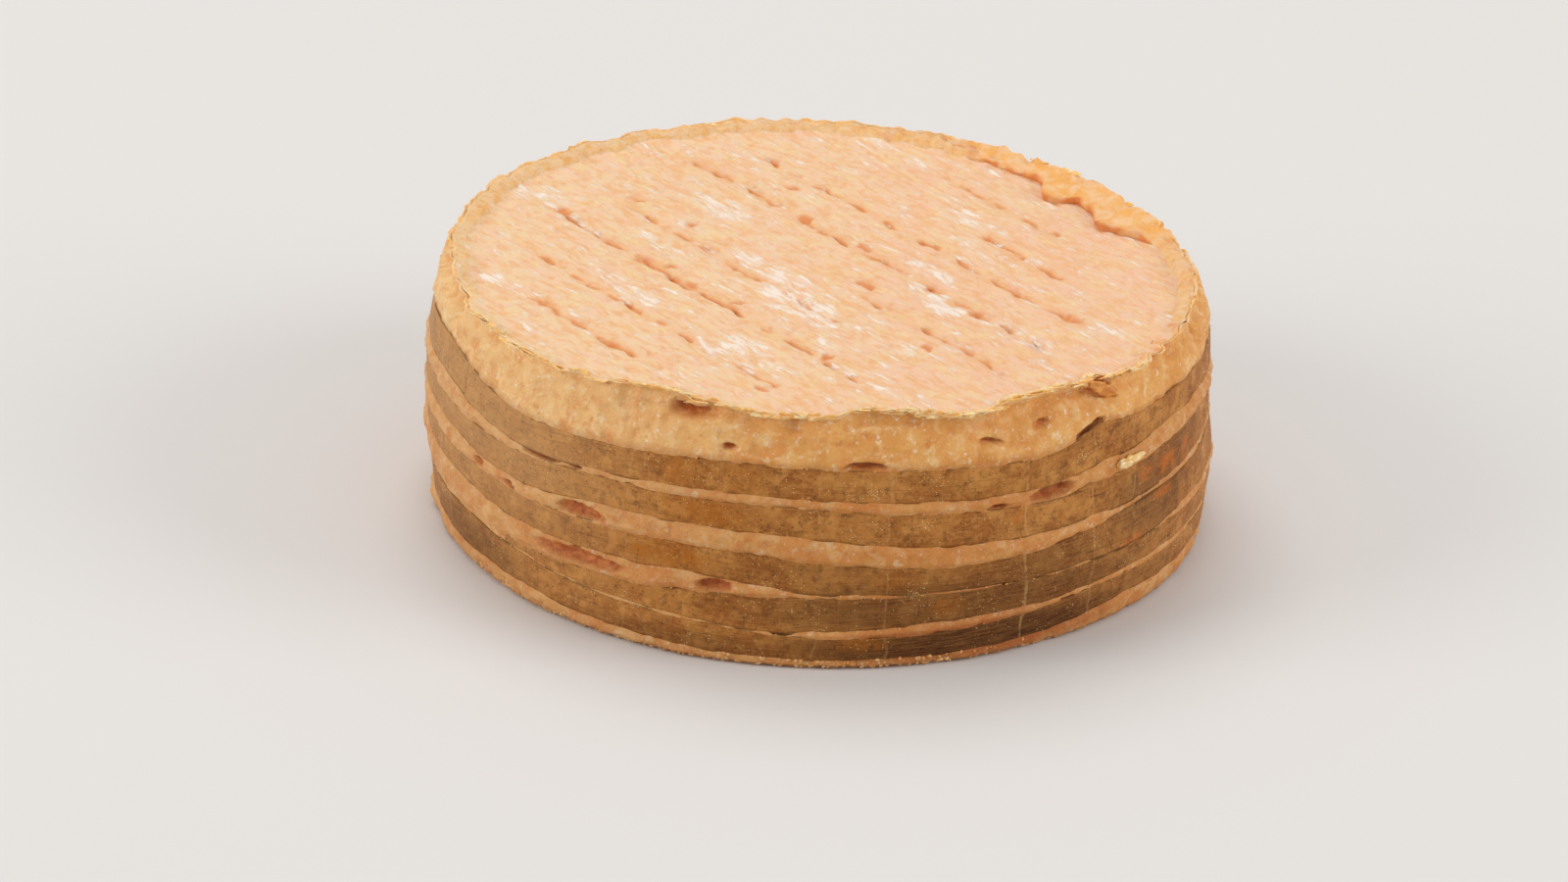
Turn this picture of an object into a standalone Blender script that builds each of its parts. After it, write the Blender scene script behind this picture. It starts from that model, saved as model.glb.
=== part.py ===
"""Washed rind cheese: one whole wheel bound with five reed strips.

The wheel stands on the origin with +Z up and its best side towards -Y. Sizes are in
millimetres and angles in degrees: 0 is the front, and positive turns to the right.
"""

import math

import bmesh
import bpy
from mathutils import Matrix, Vector, noise
from mathutils.geometry import delaunay_2d_cdt

MM = 0.001
FULL_TURN = 360
SEGMENTS = 80
STEP = FULL_TURN / SEGMENTS

# The wheel's axis stands off the origin, so that the origin is in the middle of the whole
AXIS = Vector((-0.6, 0.4, 0.0))

# The side's radius by height, at the far left and at the far right of the wheel
LEFT_PROFILE = [(0, 57.5), (3, 58.2), (8, 58.8), (14, 59.4), (22, 59.7), (28, 59.4), (33, 58.7), (39, 57.5)]
RIGHT_PROFILE = [(0, 59.1), (3, 60.0), (8, 60.4), (13, 60.8), (18, 60.2), (25, 59.7), (33, 59.3), (39, 57.8)]
BASE_ROUNDING = 1.0
# The foot spreads at the front, and the rear right draws in towards the top
FOOT_SPREAD = 2.2
FOOT_MIDDLE = -12
FOOT_HALF_WIDTH = 66
FOOT_HEIGHT = 14
DRAWN_IN = 1.7
DRAWN_IN_MIDDLE = 122
DRAWN_IN_HALF_WIDTH = 48
DRAWN_IN_START = 22
DRAWN_IN_BLEND = 22
SIDE_LUMP = 0.22
SIDE_LUMP_SIZE = 9.0
SHOULDER_START = 32.0
SHOULDER_BLEND = 3.0
SHOULDER_LUMP = 0.5
SHOULDER_LUMP_SIZE = 6.0

# The reed strips and the shallow beds that they have pressed into the rind
STRIP_THICKNESS = 0.4
STRIP_CLEARANCE = 0.3
BED_DEPTH = 0.55
BED_MARGIN = 0.12
WIDE_GAP = 2.5
LEAST_GAP = 0.25
FOOT_RING_HEIGHT = 0.4
OVERLAP_LIFT = STRIP_THICKNESS + STRIP_CLEARANCE
LIFT_LENGTH = 12
LIFT_END = 4.5

# Each strip's lower and upper edge by angle, from where it starts to where it ends
STRIPS = {
    "reed_band_1": [
        (-71, 28.0, 33.8), (-49, 25.2, 30.3), (-32, 25.9, 30.6), (-15, 26.7, 31.5), (1, 26.7, 31.5),
        (18, 26.1, 31.1), (35, 25.7, 30.8), (46, 27.0, 33.3), (51, 27.0, 32.6), (64, 28.3, 32.7),
        (100, 27.2, 32.4), (140, 26.0, 31.2), (180, 26.5, 31.8), (225, 25.9, 30.9), (260, 26.9, 32.1),
        (289, 27.9, 33.3), (299, 27.1, 32.1),
    ],
    "reed_band_2": [
        (39, 19.1, 24.5), (52, 18.8, 24.3), (68, 19.5, 25.3), (100, 19.9, 24.9), (140, 19.5, 24.3),
        (180, 20.3, 25.1), (225, 19.7, 24.3), (262, 20.3, 24.9), (292, 20.7, 24.4), (311, 19.2, 24.0),
        (328, 20.6, 25.1), (345, 20.9, 25.3), (361, 20.5, 25.2), (378, 18.9, 24.2), (395, 18.7, 23.4),
        (404, 18.9, 23.5),
    ],
    "reed_band_3": [
        (57, 12.6, 18.2), (68, 13.5, 18.8), (100, 13.1, 18.5), (140, 13.7, 18.1), (180, 12.9, 17.5),
        (225, 13.3, 18.3), (262, 14.1, 18.7), (292, 14.2, 18.0), (311, 12.8, 17.4), (328, 12.9, 17.5),
        (345, 13.3, 17.8), (360, 12.0, 17.0), (378, 12.1, 15.7), (392, 12.2, 16.0), (405, 12.4, 17.2),
        (411, 12.7, 17.9), (426, 13.3, 18.4),
    ],
    "reed_band_4": [
        (-50, 8.6, 9.2), (-44, 8.2, 9.3), (-32, 7.4, 9.5), (-15, 6.5, 10.6), (0, 6.1, 11.2),
        (18, 6.9, 11.5), (36, 7.4, 11.6), (52, 8.1, 11.9), (68, 8.1, 12.3), (100, 7.8, 12.1),
        (140, 7.3, 11.9), (180, 7.5, 12.3), (225, 8.0, 12.1), (246, 8.4, 11.8),
    ],
    "reed_band_5": [
        (196, 2.0, 6.4), (225, 2.4, 7.0), (262, 2.8, 7.8), (295, 2.9, 8.7), (313, 3.1, 7.8),
        (328, 2.3, 6.7), (345, 1.7, 5.9), (358, 1.5, 5.2), (378, 1.6, 5.3), (391, 1.9, 6.2),
        (401, 2.7, 6.9), (411, 3.7, 7.3), (428, 3.3, 7.3), (460, 2.2, 6.8), (500, 1.8, 6.2),
        (540, 2.0, 6.5), (564, 2.1, 6.5),
    ],
}
SLANTED_END = {"reed_band_2": 2.3}
STRIP_ORDER = ["reed_band_5", "reed_band_4", "reed_band_3", "reed_band_2", "reed_band_1"]

# The lip of the top skin by angle: its outer radius and its height
LIP = [
    (-180, 57.0, 39.8), (-165, 56.4, 40.4), (-150, 56.9, 39.9), (-136, 56.3, 40.4), (-122, 56.9, 40.0),
    (-108, 56.3, 40.5), (-94, 56.8, 40.1), (-80, 56.6, 40.3), (-68, 57.2, 39.8), (-54, 57.6, 39.6),
    (-42, 58.3, 39.4), (-32, 57.7, 39.8), (-23, 56.8, 40.4), (-17, 57.3, 40.0), (-8, 57.7, 39.6),
    (0, 58.1, 39.4), (8, 56.9, 40.5), (15, 57.7, 39.8), (23, 58.6, 39.4), (31, 57.2, 40.4),
    (41, 57.5, 40.2), (49, 57.5, 39.7), (58, 58.1, 39.4), (69, 57.5, 39.8), (80, 57.0, 40.1),
    (92, 56.6, 40.2), (104, 56.0, 40.0), (116, 55.4, 40.0), (128, 55.3, 40.1), (140, 55.4, 39.9),
    (154, 56.0, 40.0), (168, 56.6, 39.9),
]
# How far inwards the lip reaches, where the skin is folded back over the top at the rear right
FOLD = [
    (98, 1.6), (106, 2.0), (111, 5.6), (116, 8.0), (122, 6.0), (127, 5.6), (133, 8.6), (139, 4.0),
    (147, 3.8), (154, 3.0), (164, 1.6),
]
LIP_WIDTH = 1.6
LIP_DROP = 2.3
FULLY_FOLDED = 3.0
# How far the side draws in under the lip
UNDERCUT = [
    (-30, 0), (-22, 0.9), (-14, 0.3), (4, 0), (10, 0.6), (16, 0.2), (24, 1.3), (40, 1.6), (50, 1.4), (60, 0),
]
LIP_WAVE = 0.45
LIP_WAVE_SIZE = 3.2

# The flat of the top with the furrows of the draining mat: place across, start, end, depth
TOP_HEIGHT = 39.0
TOP_SWELL = 0.3
TOP_SWELL_SIZE = 22.0
# The top lies lower towards the folded skin
TOP_SINK = 0.8
TOP_SINK_HEADING = 128
TOP_SINK_START = 24.0
TOP_SINK_LENGTH = 24.0
FURROW_HEADING = 51.5
FURROW_SPACING = 10.4
FURROW_HALF_WIDTH = 1.0
FURROW_POINT_STEP = 6.0
FURROW_FADE = 6.0
TOP_REACH = 60.0
FURROWS = [
    (-37.5, -22, 16, 0.35), (-27, -4, 34, 0.4), (-17.5, -42, 44, 0.5), (-7.5, -48, 50, 0.6),
    (3.5, 12, 52, 0.5), (12.5, -36, 24, 0.45), (23, -44, 42, 0.6), (35.5, -30, 38, 0.4), (46, -16, 24, 0.4),
]
EDGE_CLEARANCE = 1.6

# Hollows in the side by angle, height, width, height across, depth and tilt
HOLLOWS = [
    (-42.7, 25.0, 8.0, 1.0, 1.1, 2), (-36, 25.4, 2.2, 0.8, 0.8, 0), (-56.6, 18.7, 2.4, 1.3, 0.8, 0),
    (-48.7, 18.1, 2.7, 1.2, 0.9, -10), (-34.6, 18.8, 9.4, 2.2, 1.3, 0), (-35, 11.4, 17.0, 2.2, 1.1, 0),
    (-13.3, 11.9, 5.8, 2.0, 1.2, 0), (-18.9, 38.1, 5.9, 2.6, 1.9, 0), (-12.4, 33.7, 2.5, 0.9, 0.8, 0),
    (7.1, 32.1, 6.9, 0.9, 1.0, 0), (-3.6, 5.7, 3.2, 0.8, 0.8, 0), (27, 24.2, 3.4, 0.9, 1.0, 0),
    (36, 24.7, 8.2, 2.2, 1.7, 5), (43.2, 33.0, 6.0, 1.6, 1.8, 16), (34.6, 35.5, 2.8, 0.9, 1.0, 8),
    (26, 34.3, 4.6, 0.7, 0.8, -8), (47, 37.6, 4.8, 2.2, 1.9, -18), (83, 34.5, 3.4, 1.3, 1.0, 25),
    (74, 37.1, 2.6, 1.0, 0.9, 40),
]
# Loose scraps of rind that stand on the side, given the same way
SCRAPS = [(46.6, 37.9, 6.6, 1.5, 0.8, -34), (51.5, 25.6, 6.0, 1.0, 1.0, -8)]
HOLLOW_SINK = 0.35

RIND_COLOUR = (0.80, 0.50, 0.24, 1.0)
REED_COLOUR = (0.42, 0.27, 0.13, 1.0)


def smooth(value):
    """A soft step from 0 to 1."""
    value = min(max(value, 0.0), 1.0)
    return value * value * (3 - 2 * value)


def curve_value(points, position, column=1):
    """A column of a smooth curve that passes through points, which are sorted by position."""
    index = sum(point[0] <= position for point in points) - 1
    index = min(max(index, 0), len(points) - 2)
    before, start, end, after = (points[min(max(index + k, 0), len(points) - 1)] for k in (-1, 0, 1, 2))
    length = end[0] - start[0]
    t = min(max((position - start[0]) / length, 0.0), 1.0)
    slope_start = (end[column] - before[column]) / (end[0] - before[0]) * length
    slope_end = (after[column] - start[column]) / (after[0] - start[0]) * length
    return (
        start[column] * (2 * t**3 - 3 * t**2 + 1)
        + slope_start * (t**3 - 2 * t**2 + t)
        + end[column] * (3 * t**2 - 2 * t**3)
        + slope_end * (t**3 - t**2)
    )


def round_curve(points, angle, column=1):
    """The same for a curve that closes on itself after a full turn."""
    first, last = points[0], points[-1]
    turned = first[0] + (angle - first[0]) % FULL_TURN
    if last[0] < first[0] + FULL_TURN:
        points = [(last[0] - FULL_TURN, *last[1:]), *points, (first[0] + FULL_TURN, *first[1:])]
    return curve_value(points, turned, column)


def place(angle, radius, height):
    turn = math.radians(angle)
    return (AXIS + Vector((radius * math.sin(turn), -radius * math.cos(turn), height))) * MM


def lump(angle, radius, height, size, seed=0.0):
    return noise.noise(place(angle, radius, height) / MM / size + Vector((seed, seed, seed)))


def lobe(angle, middle, half_width):
    """1 at the middle angle, falling to 0 at half_width from it."""
    away = abs((angle - middle + FULL_TURN / 2) % FULL_TURN - FULL_TURN / 2)
    return smooth(1 - away / half_width)


def side_radius(angle, height):
    """The rind between the strips, with its lumps, which grow above the top strip."""
    to_right = (1 + math.sin(math.radians(angle))) / 2
    left = curve_value(LEFT_PROFILE, height)
    radius = left + (curve_value(RIGHT_PROFILE, height) - left) * to_right
    radius += FOOT_SPREAD * lobe(angle, FOOT_MIDDLE, FOOT_HALF_WIDTH) * (1 - smooth(height / FOOT_HEIGHT))
    drawn_in = lobe(angle, DRAWN_IN_MIDDLE, DRAWN_IN_HALF_WIDTH)
    radius -= DRAWN_IN * drawn_in * smooth((height - DRAWN_IN_START) / DRAWN_IN_BLEND)
    radius += SIDE_LUMP * lump(angle, radius, height, SIDE_LUMP_SIZE)
    above = smooth((height - SHOULDER_START) / SHOULDER_BLEND)
    return radius + above * SHOULDER_LUMP * lump(angle, radius, height, SHOULDER_LUMP_SIZE, 7.3)


def has_strip(name, angle):
    """1 where a strip lies, falling to 0 where an open strip leaves the rind bare."""
    edges = STRIPS[name]
    turned = edges[0][0] + (angle - edges[0][0]) % FULL_TURN
    past_end = max(turned - edges[-1][0], 0)
    to_start = edges[0][0] + FULL_TURN - turned
    return 1 - smooth(min(past_end, to_start) / STEP)


def bed_rings(angle):
    """The side from its foot to the top strip's upper edge, as radius and height pairs."""
    foot = side_radius(angle, 0)
    rings = [(foot - BASE_ROUNDING, 0.0), (foot - BASE_ROUNDING / 4, FOOT_RING_HEIGHT)]
    below = None
    for name in STRIP_ORDER:
        low = round_curve(STRIPS[name], angle, 1) - BED_MARGIN
        high = round_curve(STRIPS[name], angle, 2) + BED_MARGIN
        if below is not None:
            low = max(low, below + LEAST_GAP)
            high = max(high, low + LEAST_GAP)
            gap = low - below
            fill = smooth(gap / WIDE_GAP)
            for share in (0.25, 0.75):
                height = below + gap * share
                rings.append((side_radius(angle, height) - BED_DEPTH * (1 - fill), height))
        depth = BED_DEPTH * has_strip(name, angle)
        rings += [(side_radius(angle, height) - depth, height) for height in (low, high)]
        below = high
    return rings


def lip_rings(angle, start):
    """The shoulder above the strips, the ragged lip and the foot of the lip on the top."""
    wave = LIP_WAVE * lump(angle, 57, 40, LIP_WAVE_SIZE, 3.1)
    radius = round_curve(LIP, angle, 1) + wave
    height = round_curve(LIP, angle, 2) - wave
    under = curve_value(UNDERCUT, angle) if UNDERCUT[0][0] < angle < UNDERCUT[-1][0] else 0
    reach = curve_value(FOLD, angle) if FOLD[0][0] < angle < FOLD[-1][0] else LIP_WIDTH
    neck = height - LIP_DROP
    rings = []
    for share in (0.25, 0.55, 0.8):
        level = start + (neck - start) * share
        rings.append((side_radius(angle, level) - under * share**2, level))
    rings.append((min(side_radius(angle, neck), radius + 0.5) - under, neck))
    rings.append((radius - 0.3 * under - 0.1, height - 1.0))
    rings += [(radius, height - 0.4), (radius - 0.6, height)]
    folded = smooth((reach - LIP_WIDTH) / FULLY_FOLDED)
    tip = radius - reach
    turn = math.radians(angle)
    level = TOP_HEIGHT - top_sink(tip * math.sin(turn), -tip * math.cos(turn))
    rings.append((tip + 0.3 + 0.3 * folded, height - 0.15 + 0.1 * folded))
    rings.append((tip, level + 0.35 + 0.55 * folded))
    pocket = reach - 2.6
    rings.append((tip - 0.5 + folded * (0.5 + pocket), level + 0.1 + 0.2 * folded))
    rings.append((tip - 1.2 + folded * (0.6 + pocket), level))
    return rings


def outline(angle):
    rings = bed_rings(angle)
    return rings + lip_rings(angle, rings[-1][1])


def furrow_frame(x, y):
    """Distance along and across the furrows. Across grows towards the front left."""
    turn = math.radians(FURROW_HEADING)
    return x * math.cos(turn) - y * math.sin(turn), -x * math.sin(turn) - y * math.cos(turn)


def top_sink(x, y):
    """How far the top lies lower towards the folded skin."""
    turn = math.radians(TOP_SINK_HEADING)
    towards = x * math.sin(turn) - y * math.cos(turn)
    return TOP_SINK * smooth((towards - TOP_SINK_START) / TOP_SINK_LENGTH)


def top_height(x, y):
    """The height of the top away from the lip."""
    along, across = furrow_frame(x, y)
    height = TOP_HEIGHT + TOP_SWELL * noise.noise(Vector((x, y, 0)) / TOP_SWELL_SIZE)
    height -= top_sink(x, y)
    for middle, start, end, depth in FURROWS:
        ends = smooth((along - start) / FURROW_FADE) * smooth((end - along) / FURROW_FADE)
        height -= depth * ends * math.exp(-(((across - middle) / FURROW_HALF_WIDTH) ** 2) * 1.5)
    return height


def top_points():
    """Points of the top in rows that follow the furrows, clear of the lip."""
    rows = []
    middles = [furrow[0] for furrow in FURROWS]
    for index, middle in enumerate(middles):
        following = middles[index + 1] if index + 1 < len(middles) else middle + FURROW_SPACING
        rows += [middle - FURROW_HALF_WIDTH, middle, middle + FURROW_HALF_WIDTH, (middle + following) / 2]
    rows += [middles[0] - FURROW_SPACING / 2, middles[0] - FURROW_SPACING]
    turn = math.radians(FURROW_HEADING)
    points = []
    for number, across in enumerate(rows):
        count = int(TOP_REACH / FURROW_POINT_STEP)
        for k in range(-count, count + 1):
            along = (k + 0.5 * (number % 2)) * FURROW_POINT_STEP
            x = along * math.cos(turn) - across * math.sin(turn)
            y = -along * math.sin(turn) - across * math.cos(turn)
            angle = math.degrees(math.atan2(x, -y))
            room = min(outline(angle + side)[-1][0] for side in (-STEP, 0, STEP))
            if math.hypot(x, y) < room - EDGE_CLEARANCE:
                points.append((x, y))
    return points


def fill_top(bm, loop):
    """Closes the wheel inside loop, the vertices at the lip's foot in order."""
    rim = [(vertex.co / MM - AXIS).xy for vertex in loop]
    inner = top_points()
    flat = rim + [Vector(point) for point in inner]
    _, _, faces, sources, _, _ = delaunay_2d_cdt(flat, [], [list(range(len(rim)))], 1, 1e-6)
    vertices = list(loop)
    vertices += [bm.verts.new((AXIS + Vector((x, y, top_height(x, y)))) * MM) for x, y in inner]
    for face in faces:
        bm.faces.new([vertices[sources[corner][0]] for corner in face])


def make_material(name, colour, roughness):
    material = bpy.data.materials.new(name)
    material.use_nodes = True
    shader = material.node_tree.nodes["Principled BSDF"]
    shader.inputs["Base Color"].default_value = colour
    shader.inputs["Roughness"].default_value = roughness
    return material


def make_object(name, bm, material=None):
    mesh = bpy.data.meshes.new(name)
    bm.to_mesh(mesh)
    bm.free()
    if material:
        mesh.materials.append(material)
        mesh.shade_smooth()
        mesh.set_sharp_from_angle(angle=math.radians(42))
    made = bpy.data.objects.new(name, mesh)
    bpy.context.scene.collection.objects.link(made)
    return made


def make_wheel_body(material):
    """One profile is spun round the axis, and each vertex then takes its own place."""
    bm = bmesh.new()
    ring_number = bm.verts.layers.int.new("ring")
    previous = None
    for number, (radius, height) in enumerate(outline(0)):
        vertex = bm.verts.new(place(0, radius, height))
        vertex[ring_number] = number
        if previous:
            bm.edges.new((previous, vertex))
        previous = vertex
    top_ring = previous[ring_number]
    bmesh.ops.spin(
        bm, geom=bm.verts[:] + bm.edges[:], cent=AXIS * MM, axis=(0, 0, 1), angle=math.tau,
        steps=SEGMENTS, use_merge=True,
    )
    outlines = [outline(k * STEP) for k in range(SEGMENTS)]
    lip_foot = []
    for vertex in bm.verts:
        spoke = vertex.co - AXIS * MM
        station = round(math.degrees(math.atan2(spoke.x, -spoke.y)) / STEP) % SEGMENTS
        radius, height = outlines[station][vertex[ring_number]]
        if vertex[ring_number] == top_ring:
            lip_foot.append((station, vertex))
        vertex.co = place(station * STEP, radius, height)
    loop = [vertex for _, vertex in sorted(lip_foot, key=lambda pair: pair[0])]
    fill_top(bm, loop)
    bmesh.ops.holes_fill(bm, edges=[edge for edge in bm.edges if edge.is_boundary], sides=0)
    bmesh.ops.recalc_face_normals(bm, faces=bm.faces[:])
    return make_object("cheese_wheel", bm, material)


def make_pebbles(name, shapes, sink=0.0):
    """A helper collection of flattened balls on the side, one for each hollow or scrap."""
    collection = bpy.data.collections.new(name)
    bpy.context.scene.collection.children.link(collection)
    for number, (angle, height, width, across, depth, tilt) in enumerate(shapes):
        bm = bmesh.new()
        bmesh.ops.create_icosphere(bm, subdivisions=2, radius=1.0)
        radius = side_radius(angle, height) - sink
        move = Matrix.Translation(place(angle, radius, height))
        turn = Matrix.Rotation(math.radians(angle), 4, "Z") @ Matrix.Rotation(-math.radians(tilt), 4, "Y")
        size = Matrix.Diagonal((width / 2 * MM, depth * MM, across / 2 * MM, 1))
        bm.transform(move @ turn @ size)
        made = make_object(f"{name}_{number}", bm)
        bpy.context.scene.collection.objects.unlink(made)
        collection.objects.link(made)
        made.hide_render = True
        made.display_type = "WIRE"
    return collection


def apply_collection(body, collection, operation):
    """Cuts a collection's shapes from the body, or joins them to it, and removes them."""
    modifier = body.modifiers.new(collection.name, "BOOLEAN")
    modifier.operation = operation
    modifier.operand_type = "COLLECTION"
    modifier.collection = collection
    modifier.solver = "EXACT"
    seen = body.evaluated_get(bpy.context.evaluated_depsgraph_get())
    finished = bpy.data.meshes.new_from_object(seen)
    body.modifiers.clear()
    body.data = finished
    for helper in list(collection.objects):
        bpy.data.objects.remove(helper, do_unlink=True)
    bpy.data.collections.remove(collection)


def strip_stations(name):
    """The angles of a strip's sections: its two ends, and the wheel's own steps between them."""
    start, end = STRIPS[name][0][0], STRIPS[name][-1][0]
    first = math.floor(start / STEP) + 1
    last = math.ceil(end / STEP) - 1
    return [start] + [k * STEP for k in range(first, last + 1)] + [end]


def strip_section(name, angle, slant):
    """The four corners of a strip's section, from its inner lower edge outwards and up."""
    edges = STRIPS[name]
    lifted = angle - (edges[0][0] + FULL_TURN - LIFT_LENGTH - LIFT_END)
    lift = OVERLAP_LIFT * smooth(lifted / LIFT_LENGTH)
    corners = []
    for column, outer, side in ((1, 0, 0.5), (1, 1, 0.5), (2, 1, -0.5), (2, 0, -0.5)):
        turned = angle + slant * side
        height = curve_value(edges, angle, column)
        radius = side_radius(turned, height) - BED_DEPTH + STRIP_CLEARANCE + lift
        corners.append(place(turned, radius + outer * STRIP_THICKNESS, height))
    return corners


def make_strip(name, material):
    """A thin strip whose first section is extruded from station to station."""
    stations = strip_stations(name)
    bm = bmesh.new()
    section = [bm.verts.new(corner) for corner in strip_section(name, stations[0], 0)]
    front = [bm.edges.new((section[k], section[(k + 1) % 4])) for k in range(4)]
    bm.faces.new(section)
    for angle in stations[1:]:
        slant = SLANTED_END.get(name, 0) if angle == stations[-1] else 0
        made = bmesh.ops.extrude_edge_only(bm, edges=front)["geom"]
        front = [item for item in made if isinstance(item, bmesh.types.BMEdge) and item.is_boundary]
        following = {}
        for old in section:
            for edge in old.link_edges:
                other = edge.other_vert(old)
                if other in made:
                    following[old] = other
        section = [following[old] for old in section]
        for vertex, corner in zip(section, strip_section(name, angle, slant)):
            vertex.co = corner
    bm.faces.new(section)
    bmesh.ops.recalc_face_normals(bm, faces=bm.faces[:])
    return make_object(name, bm, material)


def main():
    for old in list(bpy.data.objects):
        bpy.data.objects.remove(old, do_unlink=True)
    wheel = make_wheel_body(make_material("washed_rind", RIND_COLOUR, 0.55))
    apply_collection(wheel, make_pebbles("hollow", HOLLOWS, HOLLOW_SINK), "DIFFERENCE")
    apply_collection(wheel, make_pebbles("scrap", SCRAPS), "UNION")
    reed = make_material("reed_strip", REED_COLOUR, 0.6)
    for name in STRIPS:
        make_strip(name, reed)


main()
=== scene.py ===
import math
import random

import bmesh
import bpy
from bpy.props import FloatProperty, FloatVectorProperty, IntProperty, PointerProperty
from bpy.types import Operator, Panel, PropertyGroup
from mathutils import Matrix, Vector, noise


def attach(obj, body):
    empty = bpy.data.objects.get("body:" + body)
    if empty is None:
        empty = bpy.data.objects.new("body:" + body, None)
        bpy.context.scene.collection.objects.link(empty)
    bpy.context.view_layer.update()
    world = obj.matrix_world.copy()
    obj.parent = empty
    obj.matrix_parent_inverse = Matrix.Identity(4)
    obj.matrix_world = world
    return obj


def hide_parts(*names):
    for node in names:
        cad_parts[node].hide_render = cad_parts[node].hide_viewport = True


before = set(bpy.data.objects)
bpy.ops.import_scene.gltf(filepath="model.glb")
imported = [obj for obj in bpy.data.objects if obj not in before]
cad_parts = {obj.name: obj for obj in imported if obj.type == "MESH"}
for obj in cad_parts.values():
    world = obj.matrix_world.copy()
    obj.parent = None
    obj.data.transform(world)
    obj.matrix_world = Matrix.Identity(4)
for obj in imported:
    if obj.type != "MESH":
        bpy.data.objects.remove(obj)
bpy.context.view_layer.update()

bl_info = {
    "name": "Washed Rind Cheese",
    "version": (1, 0, 0),
    "blender": (4, 5, 0),
    "location": "View3D > Sidebar > Cheese",
    "description": "A whole washed rind cheese bound with reed strips",
    "category": "Add Mesh",
}

# Lengths in the tables are in millimetres and angles in degrees. Angle 0 is the front, and
# positive turns to the right.
MM = 0.001
FULL_TURN = 360

# The wheel's shape, with the same values as its solid
AXIS = Vector((-0.6, 0.4, 0.0))
NOMINAL_RADIUS = 60
TURN_LENGTH = round(math.tau * NOMINAL_RADIUS, 2)
LEFT_PROFILE = [(0, 57.5), (3, 58.2), (8, 58.8), (14, 59.4), (22, 59.7), (28, 59.4), (33, 58.7), (39, 57.5)]
RIGHT_PROFILE = [(0, 59.1), (3, 60.0), (8, 60.4), (13, 60.8), (18, 60.2), (25, 59.7), (33, 59.3), (39, 57.8)]
BASE_ROUNDING = 1.0
# The rounded foot: how far it stays in, and at what height
FOOT_CURVE = ((0.45, 0.12), (0.15, 0.35), (0.0, 0.7))
FOOT_SPREAD = 2.2
FOOT_MIDDLE = -12
FOOT_HALF_WIDTH = 66
FOOT_HEIGHT = 14
DRAWN_IN = 1.7
DRAWN_IN_MIDDLE = 122
DRAWN_IN_HALF_WIDTH = 48
DRAWN_IN_START = 22
SIDE_LUMP_SIZE = 9.0
SHOULDER_START = 32.0
SHOULDER_LUMP = 0.5
SHOULDER_LUMP_SIZE = 6.0
WIDE_GAP = 2.5
LEAST_GAP = 0.25
OVERLAP_LIFT = 0.12
LIFT_LENGTH = 12
LIFT_END = 4.5
END_FADE = 4.5
END_PLUNGE = 0.25
PLUNGE_LENGTH = 1.3
SEAM_FADE = 5
SEAM_STEP = 0.3

# Each strip's lower and upper edge by angle
STRIPS = {
    "reed_band_1": [
        (-71, 28.0, 33.8), (-49, 25.2, 30.3), (-32, 25.9, 30.6), (-15, 26.7, 31.5), (1, 26.7, 31.5),
        (18, 26.1, 31.1), (35, 25.7, 30.8), (46, 27.0, 33.3), (51, 27.0, 32.6), (64, 28.3, 32.7),
        (100, 27.2, 32.4), (140, 26.0, 31.2), (180, 26.5, 31.8), (225, 25.9, 30.9), (260, 26.9, 32.1),
        (289, 27.9, 33.3), (299, 27.1, 32.1),
    ],
    "reed_band_2": [
        (39, 19.1, 24.5), (52, 18.8, 24.3), (68, 19.5, 25.3), (100, 19.9, 24.9), (140, 19.5, 24.3),
        (180, 20.3, 25.1), (225, 19.7, 24.3), (262, 20.3, 24.9), (292, 20.7, 24.4), (311, 19.2, 24.0),
        (328, 20.6, 25.1), (345, 20.9, 25.3), (361, 20.5, 25.2), (378, 18.9, 24.2), (395, 18.7, 23.4),
        (404, 18.9, 23.5),
    ],
    "reed_band_3": [
        (57, 12.6, 18.2), (68, 13.5, 18.8), (100, 13.1, 18.5), (140, 13.7, 18.1), (180, 12.9, 17.5),
        (225, 13.3, 18.3), (262, 14.1, 18.7), (292, 14.2, 18.0), (311, 12.8, 17.4), (328, 12.9, 17.5),
        (345, 13.3, 17.8), (360, 12.0, 17.0), (378, 12.1, 15.7), (392, 12.2, 16.0), (405, 12.4, 17.2),
        (411, 12.7, 17.9), (426, 13.3, 18.4),
    ],
    "reed_band_4": [
        (-50, 8.6, 9.2), (-44, 8.2, 9.3), (-32, 7.4, 9.5), (-15, 6.5, 10.6), (0, 6.1, 11.2),
        (18, 6.9, 11.5), (36, 7.4, 11.6), (52, 8.1, 11.9), (68, 8.1, 12.3), (100, 7.8, 12.1),
        (140, 7.3, 11.9), (180, 7.5, 12.3), (225, 8.0, 12.1), (246, 8.4, 11.8),
    ],
    "reed_band_5": [
        (196, 2.0, 6.4), (225, 2.4, 7.0), (262, 2.8, 7.8), (295, 2.9, 8.7), (313, 3.1, 7.8),
        (328, 2.3, 6.7), (345, 1.7, 5.9), (358, 1.5, 5.2), (378, 1.6, 5.3), (391, 1.9, 6.2),
        (401, 2.7, 6.9), (411, 3.7, 7.3), (428, 3.3, 7.3), (460, 2.2, 6.8), (500, 1.8, 6.2),
        (540, 2.0, 6.5), (564, 2.1, 6.5),
    ],
}
STRIP_ORDER = ["reed_band_5", "reed_band_4", "reed_band_3", "reed_band_2", "reed_band_1"]
SLANTED_END = {"reed_band_2": 2.3}
# Where a strip's lower edge comes down to the strip below: strip, first and last angle
CLOSED_SEAMS = {"reed_band_4": ("reed_band_5", -50, -4), "reed_band_3": ("reed_band_4", 12, 58)}

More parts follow.
